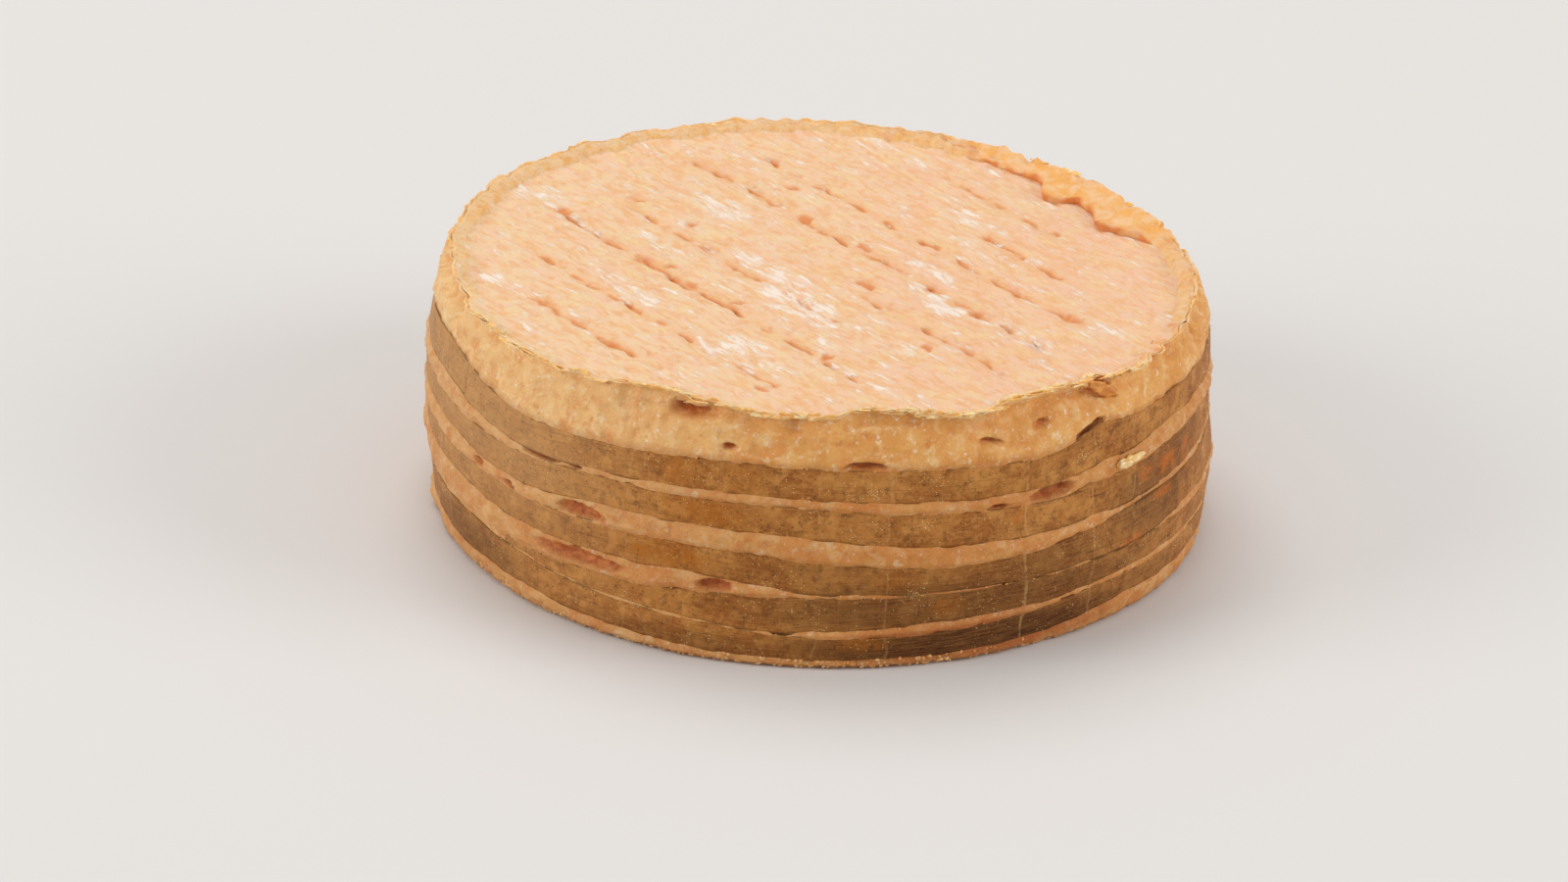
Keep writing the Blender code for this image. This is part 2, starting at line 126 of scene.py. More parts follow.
# The lip of the top skin by angle: its outer radius and its height
LIP = [
    (-180, 57.0, 39.8), (-165, 56.4, 40.4), (-150, 56.9, 39.9), (-136, 56.3, 40.4), (-122, 56.9, 40.0),
    (-108, 56.3, 40.5), (-94, 56.8, 40.1), (-80, 56.6, 40.3), (-68, 57.2, 39.8), (-54, 57.6, 39.6),
    (-42, 58.3, 39.4), (-32, 57.7, 39.8), (-23, 56.8, 40.4), (-17, 57.3, 40.0), (-8, 57.7, 39.6),
    (0, 58.1, 39.4), (8, 56.9, 40.5), (15, 57.7, 39.8), (23, 58.6, 39.4), (31, 57.2, 40.4),
    (41, 57.5, 40.2), (49, 57.5, 39.7), (58, 58.1, 39.4), (69, 57.5, 39.8), (80, 57.0, 40.1),
    (92, 56.6, 40.2), (104, 56.0, 40.0), (116, 55.4, 40.0), (128, 55.3, 40.1), (140, 55.4, 39.9),
    (154, 56.0, 40.0), (168, 56.6, 39.9),
]
# How far the folded skin reaches in from the lip, by angle
FOLD = [
    (98, 1.6), (106, 2.0), (111, 5.6), (116, 8.0), (122, 6.0), (127, 5.6), (133, 8.6), (139, 4.0),
    (147, 3.8), (154, 3.0), (164, 1.6),
]
# How far the lip overhangs the shoulder, by angle
UNDERCUT = [
    (-30, 0), (-22, 0.9), (-14, 0.5), (4, 0.2), (10, 0.8), (16, 0.4), (24, 1.3), (40, 1.6), (50, 1.4),
    (60, 0),
]
LIP_WIDTH = 1.6
LIP_DROP = 2.3
FULLY_FOLDED = 3.0
LIP_WAVE = 0.6
LIP_WAVE_SIZE = 3.2
# How dry and pale the lip's crest is, by angle
DRYNESS = [
    (-180, 0.2), (-110, 0.25), (-75, 0.35), (-62, 0.6), (-48, 0.75), (-36, 0.5), (-23, 0.6), (-12, 0.5),
    (-3, 0.75), (5, 0.4), (12, 0.9), (18, 0.6), (26, 1.0), (36, 1.0), (44, 0.9), (52, 0.8), (60, 0.35),
    (90, 0.2), (150, 0.2),
]

# The top: its flat, the furrows of the draining mat, patches of white bloom and orange pits
TOP_HEIGHT = 39.0
TOP_SWELL = 0.3
TOP_SWELL_SIZE = 22.0
TOP_SINK = 0.8
TOP_SINK_HEADING = 128
TOP_SINK_START = 24.0
TOP_SINK_LENGTH = 24.0
FURROW_HEADING = 51.5
FURROW_FADE = 6.0
# Furrows: place across, start and end along, and depth
FURROWS = [
    (-38.9, -23, 15, 0.35), (-28.4, -5, 33, 0.4), (-18.9, -43, 43, 0.5), (-8.9, -49, 49, 0.6),
    (2.1, 11, 51, 0.5), (11.1, -37, 23, 0.45), (21.6, -45, 41, 0.6), (34.1, -31, 37, 0.4),
    (44.6, -17, 23, 0.4),
]
# Patches of bloom: x, y, length along the furrows, width and strength
BLOOM = [
    (-15.2, 19.9, 12, 5.5, 0.9), (22.3, 21.6, 8, 5, 0.9), (14.4, 44.1, 4, 3, 0.9), (-6.9, -3.4, 20, 4.5, 0.9),
    (-2.7, -16.8, 20, 7, 1.0), (15.6, -0.1, 9, 3.5, 0.9), (18.9, -13.4, 15, 5.5, 0.9), (0.6, -31, 7, 4, 0.7),
    (-11.1, -35.1, 12, 8, 0.9), (-28.6, -13.4, 12, 4, 0.7), (-43.6, 23.2, 11, 8, 0.6),
    (-47.7, -12.6, 16, 3, 0.7),
    (8.1, 51.6, 8, 3, 0.6), (-12.7, 42.4, 9, 5, 0.5), (4, 38.2, 5, 3, 0.6), (11.4, -30.1, 9, 5, 0.6),
    (30, -24, 16, 5, 0.6), (43, -20, 12, 3, 0.6), (-24, 4, 14, 3, 0.7), (-36, 10, 9, 4, 0.5),
    (24, 8, 10, 2.5, 0.6),
    (34, 30, 6, 3, 0.3), (-20, -46, 8, 4, 0.5), (8, -44, 10, 4, 0.5),
]
# Orange pits: x, y and size
PITS = [
    (-26.9, -0.9, 3.2), (-0.2, 13.2, 2.4), (-2.7, 19, 2.4), (6.4, 7.4, 2.6), (25.6, 14, 2.6),
    (30.6, 7.4, 2.0),
    (29.8, -7.6, 2.8), (6.4, -6.8, 3.0), (-12.7, -15.5, 2.6), (-19.4, -9.3, 2.2), (23.1, -15.9, 3.6),
    (-31, -33.4, 2.4), (1.4, -34.3, 2.0), (-20.2, 13.2, 2.2), (-40.2, 17.4, 2.6), (-28.6, 23.2, 2.4),
    (-5, 30, 2.0), (38, -16, 3.0), (16, -30, 2.4), (-8, -48, 2.0), (36, 18, 2.2), (-22.7, -3.4, 2.6),
]

# Hollows in the side by angle, height, width, height across, depth and tilt
HOLLOWS = [
    (-42.7, 25.0, 8.0, 1.0, 1.1, 2), (-36, 25.4, 2.2, 0.8, 0.8, 0), (-56.6, 18.7, 2.4, 1.3, 0.8, 0),
    (-48.7, 18.1, 2.7, 1.2, 0.9, -10), (-34.6, 18.8, 9.4, 2.2, 1.3, 0), (-35, 11.4, 17.0, 2.2, 1.1, 0),
    (-13.3, 11.9, 5.8, 2.0, 1.2, 0), (-18.9, 38.1, 5.9, 2.6, 1.9, 0), (-12.4, 33.7, 2.5, 0.9, 0.8, 0),
    (7.1, 32.1, 6.9, 0.9, 1.0, 0), (-3.6, 5.7, 3.2, 0.8, 0.8, 0), (27, 24.2, 3.4, 0.9, 1.0, 0),
    (36, 24.7, 8.2, 2.2, 1.7, 5), (43.2, 33.0, 6.0, 1.6, 1.8, 16), (34.6, 35.5, 2.8, 0.9, 1.0, 8),
    (26, 34.3, 4.6, 0.7, 0.8, -8), (47, 37.6, 4.8, 2.2, 1.9, -18), (83, 34.5, 3.4, 1.3, 1.0, 25),
    (74, 37.1, 2.6, 1.0, 0.9, 40),
]
HOLLOW_SINK = 0.35

# Stains on the strips: angle, height, width, height across and strength
AMBER_STAINS = [
    (-19, 29.2, 6, 4, 0.8), (-10, 29.2, 5, 4, 0.6), (-15, 23.2, 14, 4, 0.9), (-21, 15.5, 13, 4, 1.0),
    (12, 14.5, 6, 3, 0.5), (20, 9.5, 5, 3, 0.6), (8, 4.5, 8, 3, 0.6), (75, 22, 6, 3, 0.4),
]
ORANGE_STAINS = [
    (56, 22.0, 4, 2.5, 0.8), (62, 21.5, 7, 3, 0.9), (69, 21, 5, 5, 0.9), (53, 12.6, 6, 1.4, 0.9),
    (60, 17.5, 5, 1.6, 0.8), (23, 6.2, 2, 1.6, 0.9), (30, 22.5, 2, 2.5, 0.6), (66, 15, 3, 2, 0.6),
]
# Patches of painted shade on the strips and on the rind between them, most of them low on the side: angle,
# height, width, height across and strength
PAINTED_SHADE_PATCHES = [
    (25, 3.5, 56, 7, 1.0), (22, 9.5, 62, 9, 0.7), (20, 15, 60, 8, 0.3), (35, 14, 26, 9, 0.5),
    (58, 18, 22, 12, 0.6),
    (68, 23, 14, 8, 0.5), (-60, 4, 28, 8, 0.55), (-15, 2, 40, 5, 0.45), (-60, 9, 20, 6, 0.3),
    (56, 4, 24, 7, 0.4),
]
# How orange the inner foot of the lip is, by angle. The orange is partly painted shade under the lip,
# strongest under the fold.
ORANGE_LIP = [
    (-180, 0.5), (-160, 0.3), (-120, 0.15), (-60, 0.15), (-20, 0.3), (20, 0.2), (48, 0.4), (68, 0.8),
    (95, 0.9),
    (108, 1.0), (150, 1.0), (166, 0.7),
]
# Clusters of crystals that show: angle, height and spread
SEEN_CLUSTERS = [
    (-24, 29.5, 2.5), (-15, 28.6, 2.6), (-4, 29.4, 2.6), (7, 28.2, 2.4), (18, 28.0, 2.2), (-14, 22.6, 3.4),
    (6, 21.5, 2.6), (18, 22.2, 2.2), (54, 9, 2.4), (47, 14.5, 2.2),
]
# Creases across the strips: angle and strength
CREASES = [(31.8, 0.36), (1.0, 0.12), (11.0, 0.2), (44.0, 0.25), (-68.0, 0.3), (52.5, 0.2), (-27.0, 0.12)]

WHEEL_STATIONS = 800
TOP_CELLS = 300
GAP_ROWS = {"reed_band_5": 5, "reed_band_4": 5, "reed_band_3": 9, "reed_band_2": 10, "reed_band_1": 7}
SHOULDER_ROWS = 18
LIP_STEPS = 4
INNER_RING = 40.0
INNER_LEVEL = 37.6
TOP_TUCK = 0.3
TOP_RISE = 2.8
TOP_EDGE_STEPS = 1440
# How the top skin's rim turns down inside the lip: inwards and down, the last to RIM_ABOVE
RIM_TUCKS = ((0.35, 0.22), (1.6, 0.2), (1.0, None))
RIM_ABOVE = 0.2
EDGE_TUCK = 0.38
STRIP_STEP = 0.6
STRIP_POINTS = 13
UNDERSIDE_POINTS = 3
SPIN_RADIUS = 30
# Millimetres of flat strip in one unit of its UV map
FLAT_SCALE = 100
CREASE_SWAY = 2.4


def shade(red, green, blue):
    """A colour given as it looks on a screen, from 0 to 255, as linear light."""
    parts = [value / 255 for value in (red, green, blue)]
    return [c / 12.92 if c <= 0.04045 else ((c + 0.055) / 1.055) ** 2.4 for c in parts]


def smooth(value):
    """A soft step from 0 to 1."""
    value = min(max(value, 0.0), 1.0)
    return value * value * (3 - 2 * value)


def curve_value(points, position, column=1):
    """A column of a smooth curve that passes through points, which are sorted by position."""
    index = sum(point[0] <= position for point in points) - 1
    index = min(max(index, 0), len(points) - 2)
    before, start, end, after = (points[min(max(index + k, 0), len(points) - 1)] for k in (-1, 0, 1, 2))
    length = end[0] - start[0]
    t = min(max((position - start[0]) / length, 0.0), 1.0)
    slope_start = (end[column] - before[column]) / (end[0] - before[0]) * length
    slope_end = (after[column] - start[column]) / (after[0] - start[0]) * length
    return (
        start[column] * (2 * t**3 - 3 * t**2 + 1)
        + slope_start * (t**3 - 2 * t**2 + t)
        + end[column] * (3 * t**2 - 2 * t**3)
        + slope_end * (t**3 - t**2)
    )


def round_curve(points, angle, column=1):
    """The same for a curve that closes on itself after a full turn."""
    first, last = points[0], points[-1]
    turned = first[0] + (angle - first[0]) % FULL_TURN
    if last[0] < first[0] + FULL_TURN:
        points = [(last[0] - FULL_TURN, *last[1:]), *points, (first[0] + FULL_TURN, *first[1:])]
    return curve_value(points, turned, column)


def turn_between(angle, middle):
    """How far angle is from middle, the shorter way round."""
    return (angle - middle + FULL_TURN / 2) % FULL_TURN - FULL_TURN / 2


def spot(angle, radius, height):
    """A place on the wheel, in millimetres."""
    turn = math.radians(angle)
    return AXIS + Vector((radius * math.sin(turn), -radius * math.cos(turn), height))


def noise_at(x, y, z):
    return noise.noise(Vector((x, y, z)))


def lump(point, size, seed=0.0):
    return noise.noise(point / size + Vector((seed, seed, seed)))


def lobe(angle, middle, half_width):
    """1 at the middle angle, falling to 0 at half_width from it."""
    return smooth(1 - abs(turn_between(angle, middle)) / half_width)


def side_radius(angle, height):
    """The rind between the strips, with its large lumps."""
    to_right = (1 + math.sin(math.radians(angle))) / 2
    left = curve_value(LEFT_PROFILE, height)
    radius = left + (curve_value(RIGHT_PROFILE, height) - left) * to_right
    radius += FOOT_SPREAD * lobe(angle, FOOT_MIDDLE, FOOT_HALF_WIDTH) * (1 - smooth(height / FOOT_HEIGHT))
    drawn_in = lobe(angle, DRAWN_IN_MIDDLE, DRAWN_IN_HALF_WIDTH)
    radius -= DRAWN_IN * drawn_in * smooth((height - DRAWN_IN_START) / DRAWN_IN_START)
    lump_height = bpy.context.scene.cheese_rind.side_lump / MM
    radius += lump_height * lump(spot(angle, radius, height), SIDE_LUMP_SIZE)
    above = smooth((height - SHOULDER_START) / 3)
    return radius + above * SHOULDER_LUMP * lump(spot(angle, radius, height), SHOULDER_LUMP_SIZE, 7.3)


def crease_at(point):
    """1 along the fine creases of the rind."""
    wide = max(0.0, 1 - abs(lump(point, 4.2, 2.0)) / 0.07)
    return max(wide, 0.7 * max(0.0, 1 - abs(lump(point, 2.3, 41.0)) / 0.08))


def dent_at(point):
    """1 in the small dents of the rind."""
    return smooth((lump(point, 1.7, 33.0) - 0.3) / 0.16)


def fine_relief(point, strength):
    """The small lumps, creases and dents of a damp rind."""
    lumps = 0.34 * lump(point, 3.6, 11.0) + 0.16 * lump(point, 1.4, 5.0)
    return strength * (lumps - 0.12 * crease_at(point) - 0.2 * dent_at(point))


def edge_relief(point):
    """How far the rind swells over a strip's edge."""
    return -0.03 + 0.26 * lump(point, 4.0, 23.0) + 0.14 * lump(point, 1.5, 13.0)


def patch_share(patches, angle, height):
    """How much of the strongest patch of a list lies at a place on the side."""
    strongest = 0.0
    for middle, level, width, across, strength in patches:
        along = math.radians(turn_between(angle, middle)) * NOMINAL_RADIUS
        away = math.hypot(along / (width / 2), (height - level) / (across / 2))
        strongest = max(strongest, strength * smooth(1.5 - away))
    return strongest


def hollow_at(angle, height, radius):
    """Depth and share of the hollows at a place on the side."""
    depth, share = 0.0, 0.0
    for middle, level, width, across, deep, tilt in HOLLOWS:
        along = math.radians(turn_between(angle, middle)) * radius
        up = height - level
        if abs(along) > width * 0.75 or abs(up) > width * 0.6 + across:
            continue
        turn = math.radians(tilt)
        u = along * math.cos(turn) + up * math.sin(turn)
        v = up * math.cos(turn) - along * math.sin(turn)
        ragged = 0.16 * lump(spot(angle, radius, height), 0.9, middle)
        away = math.hypot(u / (width / 2), v / (across / 2)) + ragged
        inside = smooth((1.12 - away) / 0.4)
        depth = max(depth, inside * (deep + HOLLOW_SINK) * (0.8 + 0.4 * smooth(1 - away)))
        share = max(share, smooth((1.2 - away) / 0.5))
    return depth, share


def stretch_value(points, angle, otherwise):
    """A curve's value where it runs, and another value past its ends."""
    return curve_value(points, angle) if points[0][0] < angle < points[-1][0] else otherwise


def has_strip(name, angle):
    """1 where a strip lies, falling to 0 where an open strip leaves the rind bare."""
    edges = STRIPS[name]
    turned = edges[0][0] + (angle - edges[0][0]) % FULL_TURN
    past_end = max(turned - edges[-1][0], 0)
    to_start = edges[0][0] + FULL_TURN - turned
    return 1 - smooth(min(past_end, to_start) / END_FADE)


def seen_edges(name, angle, whole_turn=True):
    """A strip's lower and upper edge as they show, with the seams that close."""
    edges = STRIPS[name]
    value = round_curve if whole_turn else curve_value
    low, high = value(edges, angle, 1), value(edges, angle, 2)
    from_start = (angle - edges[0][0]) % FULL_TURN if whole_turn else angle - edges[0][0]
    overlap = edges[-1][0] - edges[0][0] - FULL_TURN
    if from_start < overlap:
        share = smooth(from_start / overlap)
        turned = edges[0][0] + from_start + FULL_TURN
        above = [curve_value(edges, turned, column) for column in (1, 2)]
        low = above[0] + (low - above[0]) * share
        high = above[1] + (high - above[1]) * share
    if name in CLOSED_SEAMS:
        below, first, last = CLOSED_SEAMS[name]
        middle, half = (first + last) / 2, (last - first) / 2
        near = smooth((half + SEAM_FADE - abs(turn_between(angle, middle))) / SEAM_FADE)
        low += (round_curve(STRIPS[below], angle, 2) + SEAM_STEP - low) * near
    return low, high


def side_rows(angle):
    """Rows up the side from the rest face to the top strip: radius, height and place on the lip."""
    foot = side_radius(angle, 0)
    ragged = 0.4 * lump(spot(angle, foot, 0), 1.3, 4.0) + 0.25 * lump(spot(angle, foot, 0), 4.5, 6.0)
    rows = [(foot - BASE_ROUNDING + ragged, 0.0, 0.0)]
    for out, height in FOOT_CURVE:
        rows.append((side_radius(angle, height) - out + ragged * (1 - height), height, 0.0))
    below = FOOT_CURVE[-1][1]
    for name in STRIP_ORDER:
        low, high = seen_edges(name, angle)
        low = max(low, below + LEAST_GAP)
        high = max(high, low + 2 * EDGE_TUCK + 0.1)
        gap = low - below
        count = GAP_ROWS[name] + 2
        wide = smooth(gap / WIDE_GAP)
        for k in range(count):
            share = k / (count - 1)
            height = below + gap * share
            radius = side_radius(angle, height)
            point = spot(angle, radius, height)
            from_edge = (1 - share if name == "reed_band_5" else min(share, 1 - share)) * gap
            rise = smooth(from_edge / 0.75)
            swell = 0.12 + wide * (0.3 + 0.35 * lump(point, 4.4, 1.0))
            tight = 1 - smooth(gap / 0.8)
            radius += edge_relief(point) * (1 - tight) - 0.1 * tight + rise * swell
            radius += fine_relief(point, 0.25 + 0.75 * rise * wide)
            rows.append((radius, height, 0.0))
        covered = has_strip(name, angle)
        for height, bed in ((low + EDGE_TUCK, 0.18), ((low + high) / 2, 0.36), (high - EDGE_TUCK, 0.18)):
            radius = side_radius(angle, height)
            relief = fine_relief(spot(angle, radius, height), 1 - covered)
            rows.append((radius - bed * covered + relief, height, 0.0))
        below = high
    return rows


def fold_reach(angle):
    """How far the folded skin reaches in from the lip, and how fully it is folded."""
    reach = stretch_value(FOLD, angle, LIP_WIDTH)
    return reach, smooth((reach - LIP_WIDTH) / FULLY_FOLDED)


def lip_crest(angle):
    """The lip at one angle: radius, height, dryness and how far its crest leans out."""
    point = spot(angle, 57, 40)
    wave = LIP_WAVE * (lump(point, LIP_WAVE_SIZE, 3.1) + 0.35 * lump(point, 1.5, 17.0))
    dry = round_curve(DRYNESS, angle)
    lean = 0.15 + dry * (0.3 + 0.7 * lump(point, 2.4, 9.0))
    notch = 2.0 * max(0.0, lump(point, 3.4, 31.0) - 0.08) * (1 - fold_reach(angle)[1])
    radius = round_curve(LIP, angle, 1) + 0.5 * lump(point, 2.6, 5.1) - notch
    return radius, round_curve(LIP, angle, 2) + wave, dry, lean


def crest_lift(point):
    """The small ups and downs of the lip's edge."""
    return 0.36 * lump(point, 2.2, 14.0) + 0.16 * lump(point, 0.95, 15.0)


def lip_rows(angle, start):
    """Rows over the shoulder and the ragged lip, ending inside the wheel below the top skin."""
    radius, height, _, lean = lip_crest(angle)
    under = stretch_value(UNDERCUT, angle, 0)
    reach, folded = fold_reach(angle)
    neck = height - LIP_DROP
    rows = []
    for k in range(SHOULDER_ROWS + 1):
        share = k / (SHOULDER_ROWS + 1)
        level = start + (neck - start) * share
        out = side_radius(angle, level)
        rise = smooth((level - start) / 0.9)
        point = spot(angle, out, level)
        out += edge_relief(point) + 0.15 * rise + fine_relief(point, 0.25 + 0.9 * rise)
        rows.append((out - under * share**2, level, 0.5 * share))
    reach = max(reach + 0.5 * lump(spot(angle, radius, 40), 2.4, 8.0), LIP_WIDTH)
    hidden = 1 - folded
    tip = radius - reach
    turn = math.radians(angle)
    level = TOP_HEIGHT - top_sink(tip * math.sin(turn), -tip * math.cos(turn))
    neck_radius = min(side_radius(angle, neck), radius + 0.5) - under
    anchors = [
        (neck_radius, neck, 0.5),
        (radius - 0.55 * under - 0.25, height - 0.8, 0.7),
        (radius + 0.5 * lean, height - 0.3, 0.88),
        (radius - 0.1 + lean, height, 1.0),
        (radius - 0.5 + 0.7 * lean, height - 0.1 - 0.2 * hidden, 1.1),
        ((radius + tip) / 2, (height + level) / 2 + 0.1 + 0.4 * folded - 0.7 * hidden, 1.15),
        (tip + 0.45, level + 0.3 + 1.0 * folded - 0.9 * hidden, 1.25),
        (tip - 0.1, level + 0.1 + 0.5 * folded, 1.4),
        (tip - 0.25 + 0.6 * folded, level - 0.7, 1.5),
    ]
    for index in range(len(anchors) - 1):
        for step in range(LIP_STEPS):
            rows.append(tuple(between(anchors, index, step / LIP_STEPS, column) for column in range(3)))
    rows.append(anchors[-1])
    finished = []
    for out, level, share in rows:
        point = spot(angle, out, level)
        crest = math.exp(-(((share - 0.97) / 0.16) ** 2))
        crinkle = 0.4 * lump(point, 1.7, 12.0) + 0.18 * lump(point, 0.9, 3.0)
        near = smooth((share - 0.35) / 0.2) * smooth((1.45 - share) / 0.1)
        out += crest * crinkle + near * 0.16 * lump(point, 1.4, 1.0)
        level += crest * crest_lift(point) + near * (0.24 + 0.5 * folded) * lump(point, 2.2, 19.0)
        finished.append((out, level, share))
    finished.append((INNER_RING, INNER_LEVEL, 1.5))
    return finished


def between(points, index, t, column):
    """A column of the smooth curve through points, at t between index and the next one."""
    p = [points[min(max(index + k, 0), len(points) - 1)][column] for k in (-1, 0, 1, 2)]
    return 0.5 * (
        2 * p[1] + (p[2] - p[0]) * t + (2 * p[0] - 5 * p[1] + 4 * p[2] - p[3]) * t**2
        + (3 * p[1] - p[0] - 3 * p[2] + p[3]) * t**3
    )


def furrow_frame(x, y):
    """Distance along and across the furrows. Across grows towards the front left."""
    turn = math.radians(FURROW_HEADING)
    return x * math.cos(turn) - y * math.sin(turn), -x * math.sin(turn) - y * math.cos(turn)


def top_sink(x, y):
    """How far the top lies lower towards the folded skin."""
    turn = math.radians(TOP_SINK_HEADING)
    towards = x * math.sin(turn) - y * math.cos(turn)
    return TOP_SINK * smooth((towards - TOP_SINK_START) / TOP_SINK_LENGTH)


def top_surface(x, y):
    """Height of the top, and how much of it is ridge, furrow, pit and bloom."""
    point = Vector((x, y, 0))
    along, across = furrow_frame(x, y)
    wander = 0.9 * noise_at(along / 10, across / 16, 3)
    row = across + wander + 0.35 * noise_at(along / 2.6, across / 3, 5)
    busy = 0.9 + 0.9 * noise_at(along / 9, across / 5, 21)
    strokes = 0.75 * noise_at(along / 6.5, row / 1.45, 7)
    strokes += 0.75 * busy * noise_at(along / 3.0, row / 0.8, 17)
    strokes += 0.3 * noise_at(along / 1.3, row / 0.55, 27)
    height = TOP_HEIGHT + TOP_SWELL * noise.noise(point / TOP_SWELL_SIZE) - top_sink(x, y)
    furrow = 0.0
    for middle, start, end, depth in FURROWS:
        away = row - middle + 0.5 * noise_at(along / 2.3, middle, 4)
        if abs(away) > 4:
            continue
        ends = smooth((along - start) / FURROW_FADE) * smooth((end - along) / FURROW_FADE)
        broken = smooth(0.45 + 1.5 * noise_at(along / 4.4, middle, 1))
        wide = math.exp(-((away / 1.5) ** 2)) * ends
        thin = math.exp(-((away / 0.45) ** 2)) * ends * broken
        beside = math.exp(-(((away + 1.3) / 0.7) ** 2)) * ends * broken
        height += depth * (0.4 * beside - 0.5 * wide - 1.2 * thin)
        furrow = max(furrow, thin + 0.3 * wide)
    pit = 0.0
    for px, py, size in PITS:
        away = Vector((x - px, y - py, 0))
        if away.length < 2 * size:
            u, v = furrow_frame(away.x, away.y)
            away = math.hypot(u / (0.62 * size), v / (0.36 * size)) + 0.9 * lump(point, 1.2, px)
            pit = max(pit, smooth(1.3 - away))
    scattered = noise_at(along / 2.4, row / 1.2, 9)
    pit = max(pit, smooth((scattered - 0.3) / 0.2) * (0.2 + 0.7 * furrow))
    bloom = 0.0
    for px, py, length, width, strength in BLOOM:
        u, v = furrow_frame(x - px, y - py)
        if abs(u) < length and abs(v) < width:
            away = math.hypot(u / (length / 2), v / (width / 2)) + 0.6 * lump(point, 3.0, px)
            bloom = max(bloom, strength * smooth(1.5 - away))
    height += 0.2 * strokes + 0.22 * lump(point, 3.6, 2.0) + 0.12 * lump(point, 1.5, 6.0) - 0.45 * pit
    return height, min(furrow, 1.0), pit, bloom, 0.5 + 0.5 * strokes


MASKS = ("top", "lip", "dry", "hollow", "foot", "dark", "furrow", "pit", "bloom", "ridge")


def add_masks(bm, names):
    """Named masks on the vertices, which the material reads."""
    return {name: bm.verts.layers.float.new(name) for name in names}


def close_up(bm):
    """Fills what is open and turns all faces outwards."""
    bmesh.ops.holes_fill(bm, edges=[edge for edge in bm.edges if edge.is_boundary], sides=0)
    bmesh.ops.recalc_face_normals(bm, faces=bm.faces[:])


def make_wheel():
    """The wheel below its top skin: a spun profile whose vertices take their own places."""
    bm = bmesh.new()
    ring_number = bm.verts.layers.int.new("ring")
    masks = add_masks(bm, MASKS)
    step = FULL_TURN / WHEEL_STATIONS
    stations = []
    for k in range(WHEEL_STATIONS):
        angle = turn_between(k * step, 0)
        rows = side_rows(angle)
        stations.append(rows + lip_rows(angle, rows[-1][1] + EDGE_TUCK))
    previous = None
    for number, (radius, height, _) in enumerate(stations[0]):
        vertex = bm.verts.new(spot(0, radius, height) * MM)
        vertex[ring_number] = number
        if previous:
            bm.edges.new((previous, vertex))
        previous = vertex
    bmesh.ops.spin(
        bm, geom=bm.verts[:] + bm.edges[:], cent=AXIS * MM, axis=(0, 0, 1), angle=math.tau,
        steps=WHEEL_STATIONS, use_merge=True,
    )
    for vertex in bm.verts:
        spoke = vertex.co - AXIS * MM
        station = round(math.degrees(math.atan2(spoke.x, -spoke.y)) / step) % WHEEL_STATIONS
        angle = turn_between(station * step, 0)
        radius, height, share = stations[station][vertex[ring_number]]
        depth, hollow = hollow_at(angle, height, radius) if share < 0.75 else (0.0, 0.0)
        vertex.co = spot(angle, radius - depth, height) * MM
        vertex[masks["hollow"]] = hollow
        point = vertex.co / MM
        below_lip = 1 - smooth((share - 0.6) / 0.3)
        vertex[masks["lip"]] = smooth((share - 0.68 + 0.12 * lump(point, 2.0, 6.0)) / 0.2)
        vertex[masks["furrow"]] = crease_at(point) * below_lip
        vertex[masks["top"]] = smooth((share - 1.12) / 0.25)
        vertex[masks["dry"]] = math.exp(-(((share - 1.03) / 0.09) ** 2)) * round_curve(DRYNESS, angle)
        vertex[masks["foot"]] = 1 - smooth(height / 2.6)
        # Painted shade: a little over the whole side up into the shoulder, more at the foot, and more in the
        # shaded patches.
        low = 1 - smooth((share - 0.02) / 0.1)
        foot = 0.65 * (1 - smooth(height / 2.4))
        vertex[masks["dark"]] = max(0.4 * low, foot, patch_share(PAINTED_SHADE_PATCHES, angle, height))
        vertex[masks["ridge"]] = 0.5
        # Orange at the inner foot of the lip, which is partly painted shade under the lip and its fold, and
        # orange in the dents.
        orange = round_curve(ORANGE_LIP, angle) * (0.6 + 1.2 * lump(point, 2.0, 9.0))
        dent = dent_at(point) * below_lip
        vertex[masks["pit"]] = max(smooth((share - 1.22) / 0.12) * smooth(orange), dent)
    close_up(bm)
    return bm


def top_edge(angle):
    """Where the top skin ends: radius, height, dryness, how folded the lip is, and how orange."""
    angle = turn_between(angle, 0)
    radius, height, dry, lean = lip_crest(angle)
    folded = fold_reach(angle)[1]
    edge = radius - TOP_TUCK + 0.8 * lean - 1.2 * folded
    return edge, height, dry, folded, round_curve(ORANGE_LIP, angle)


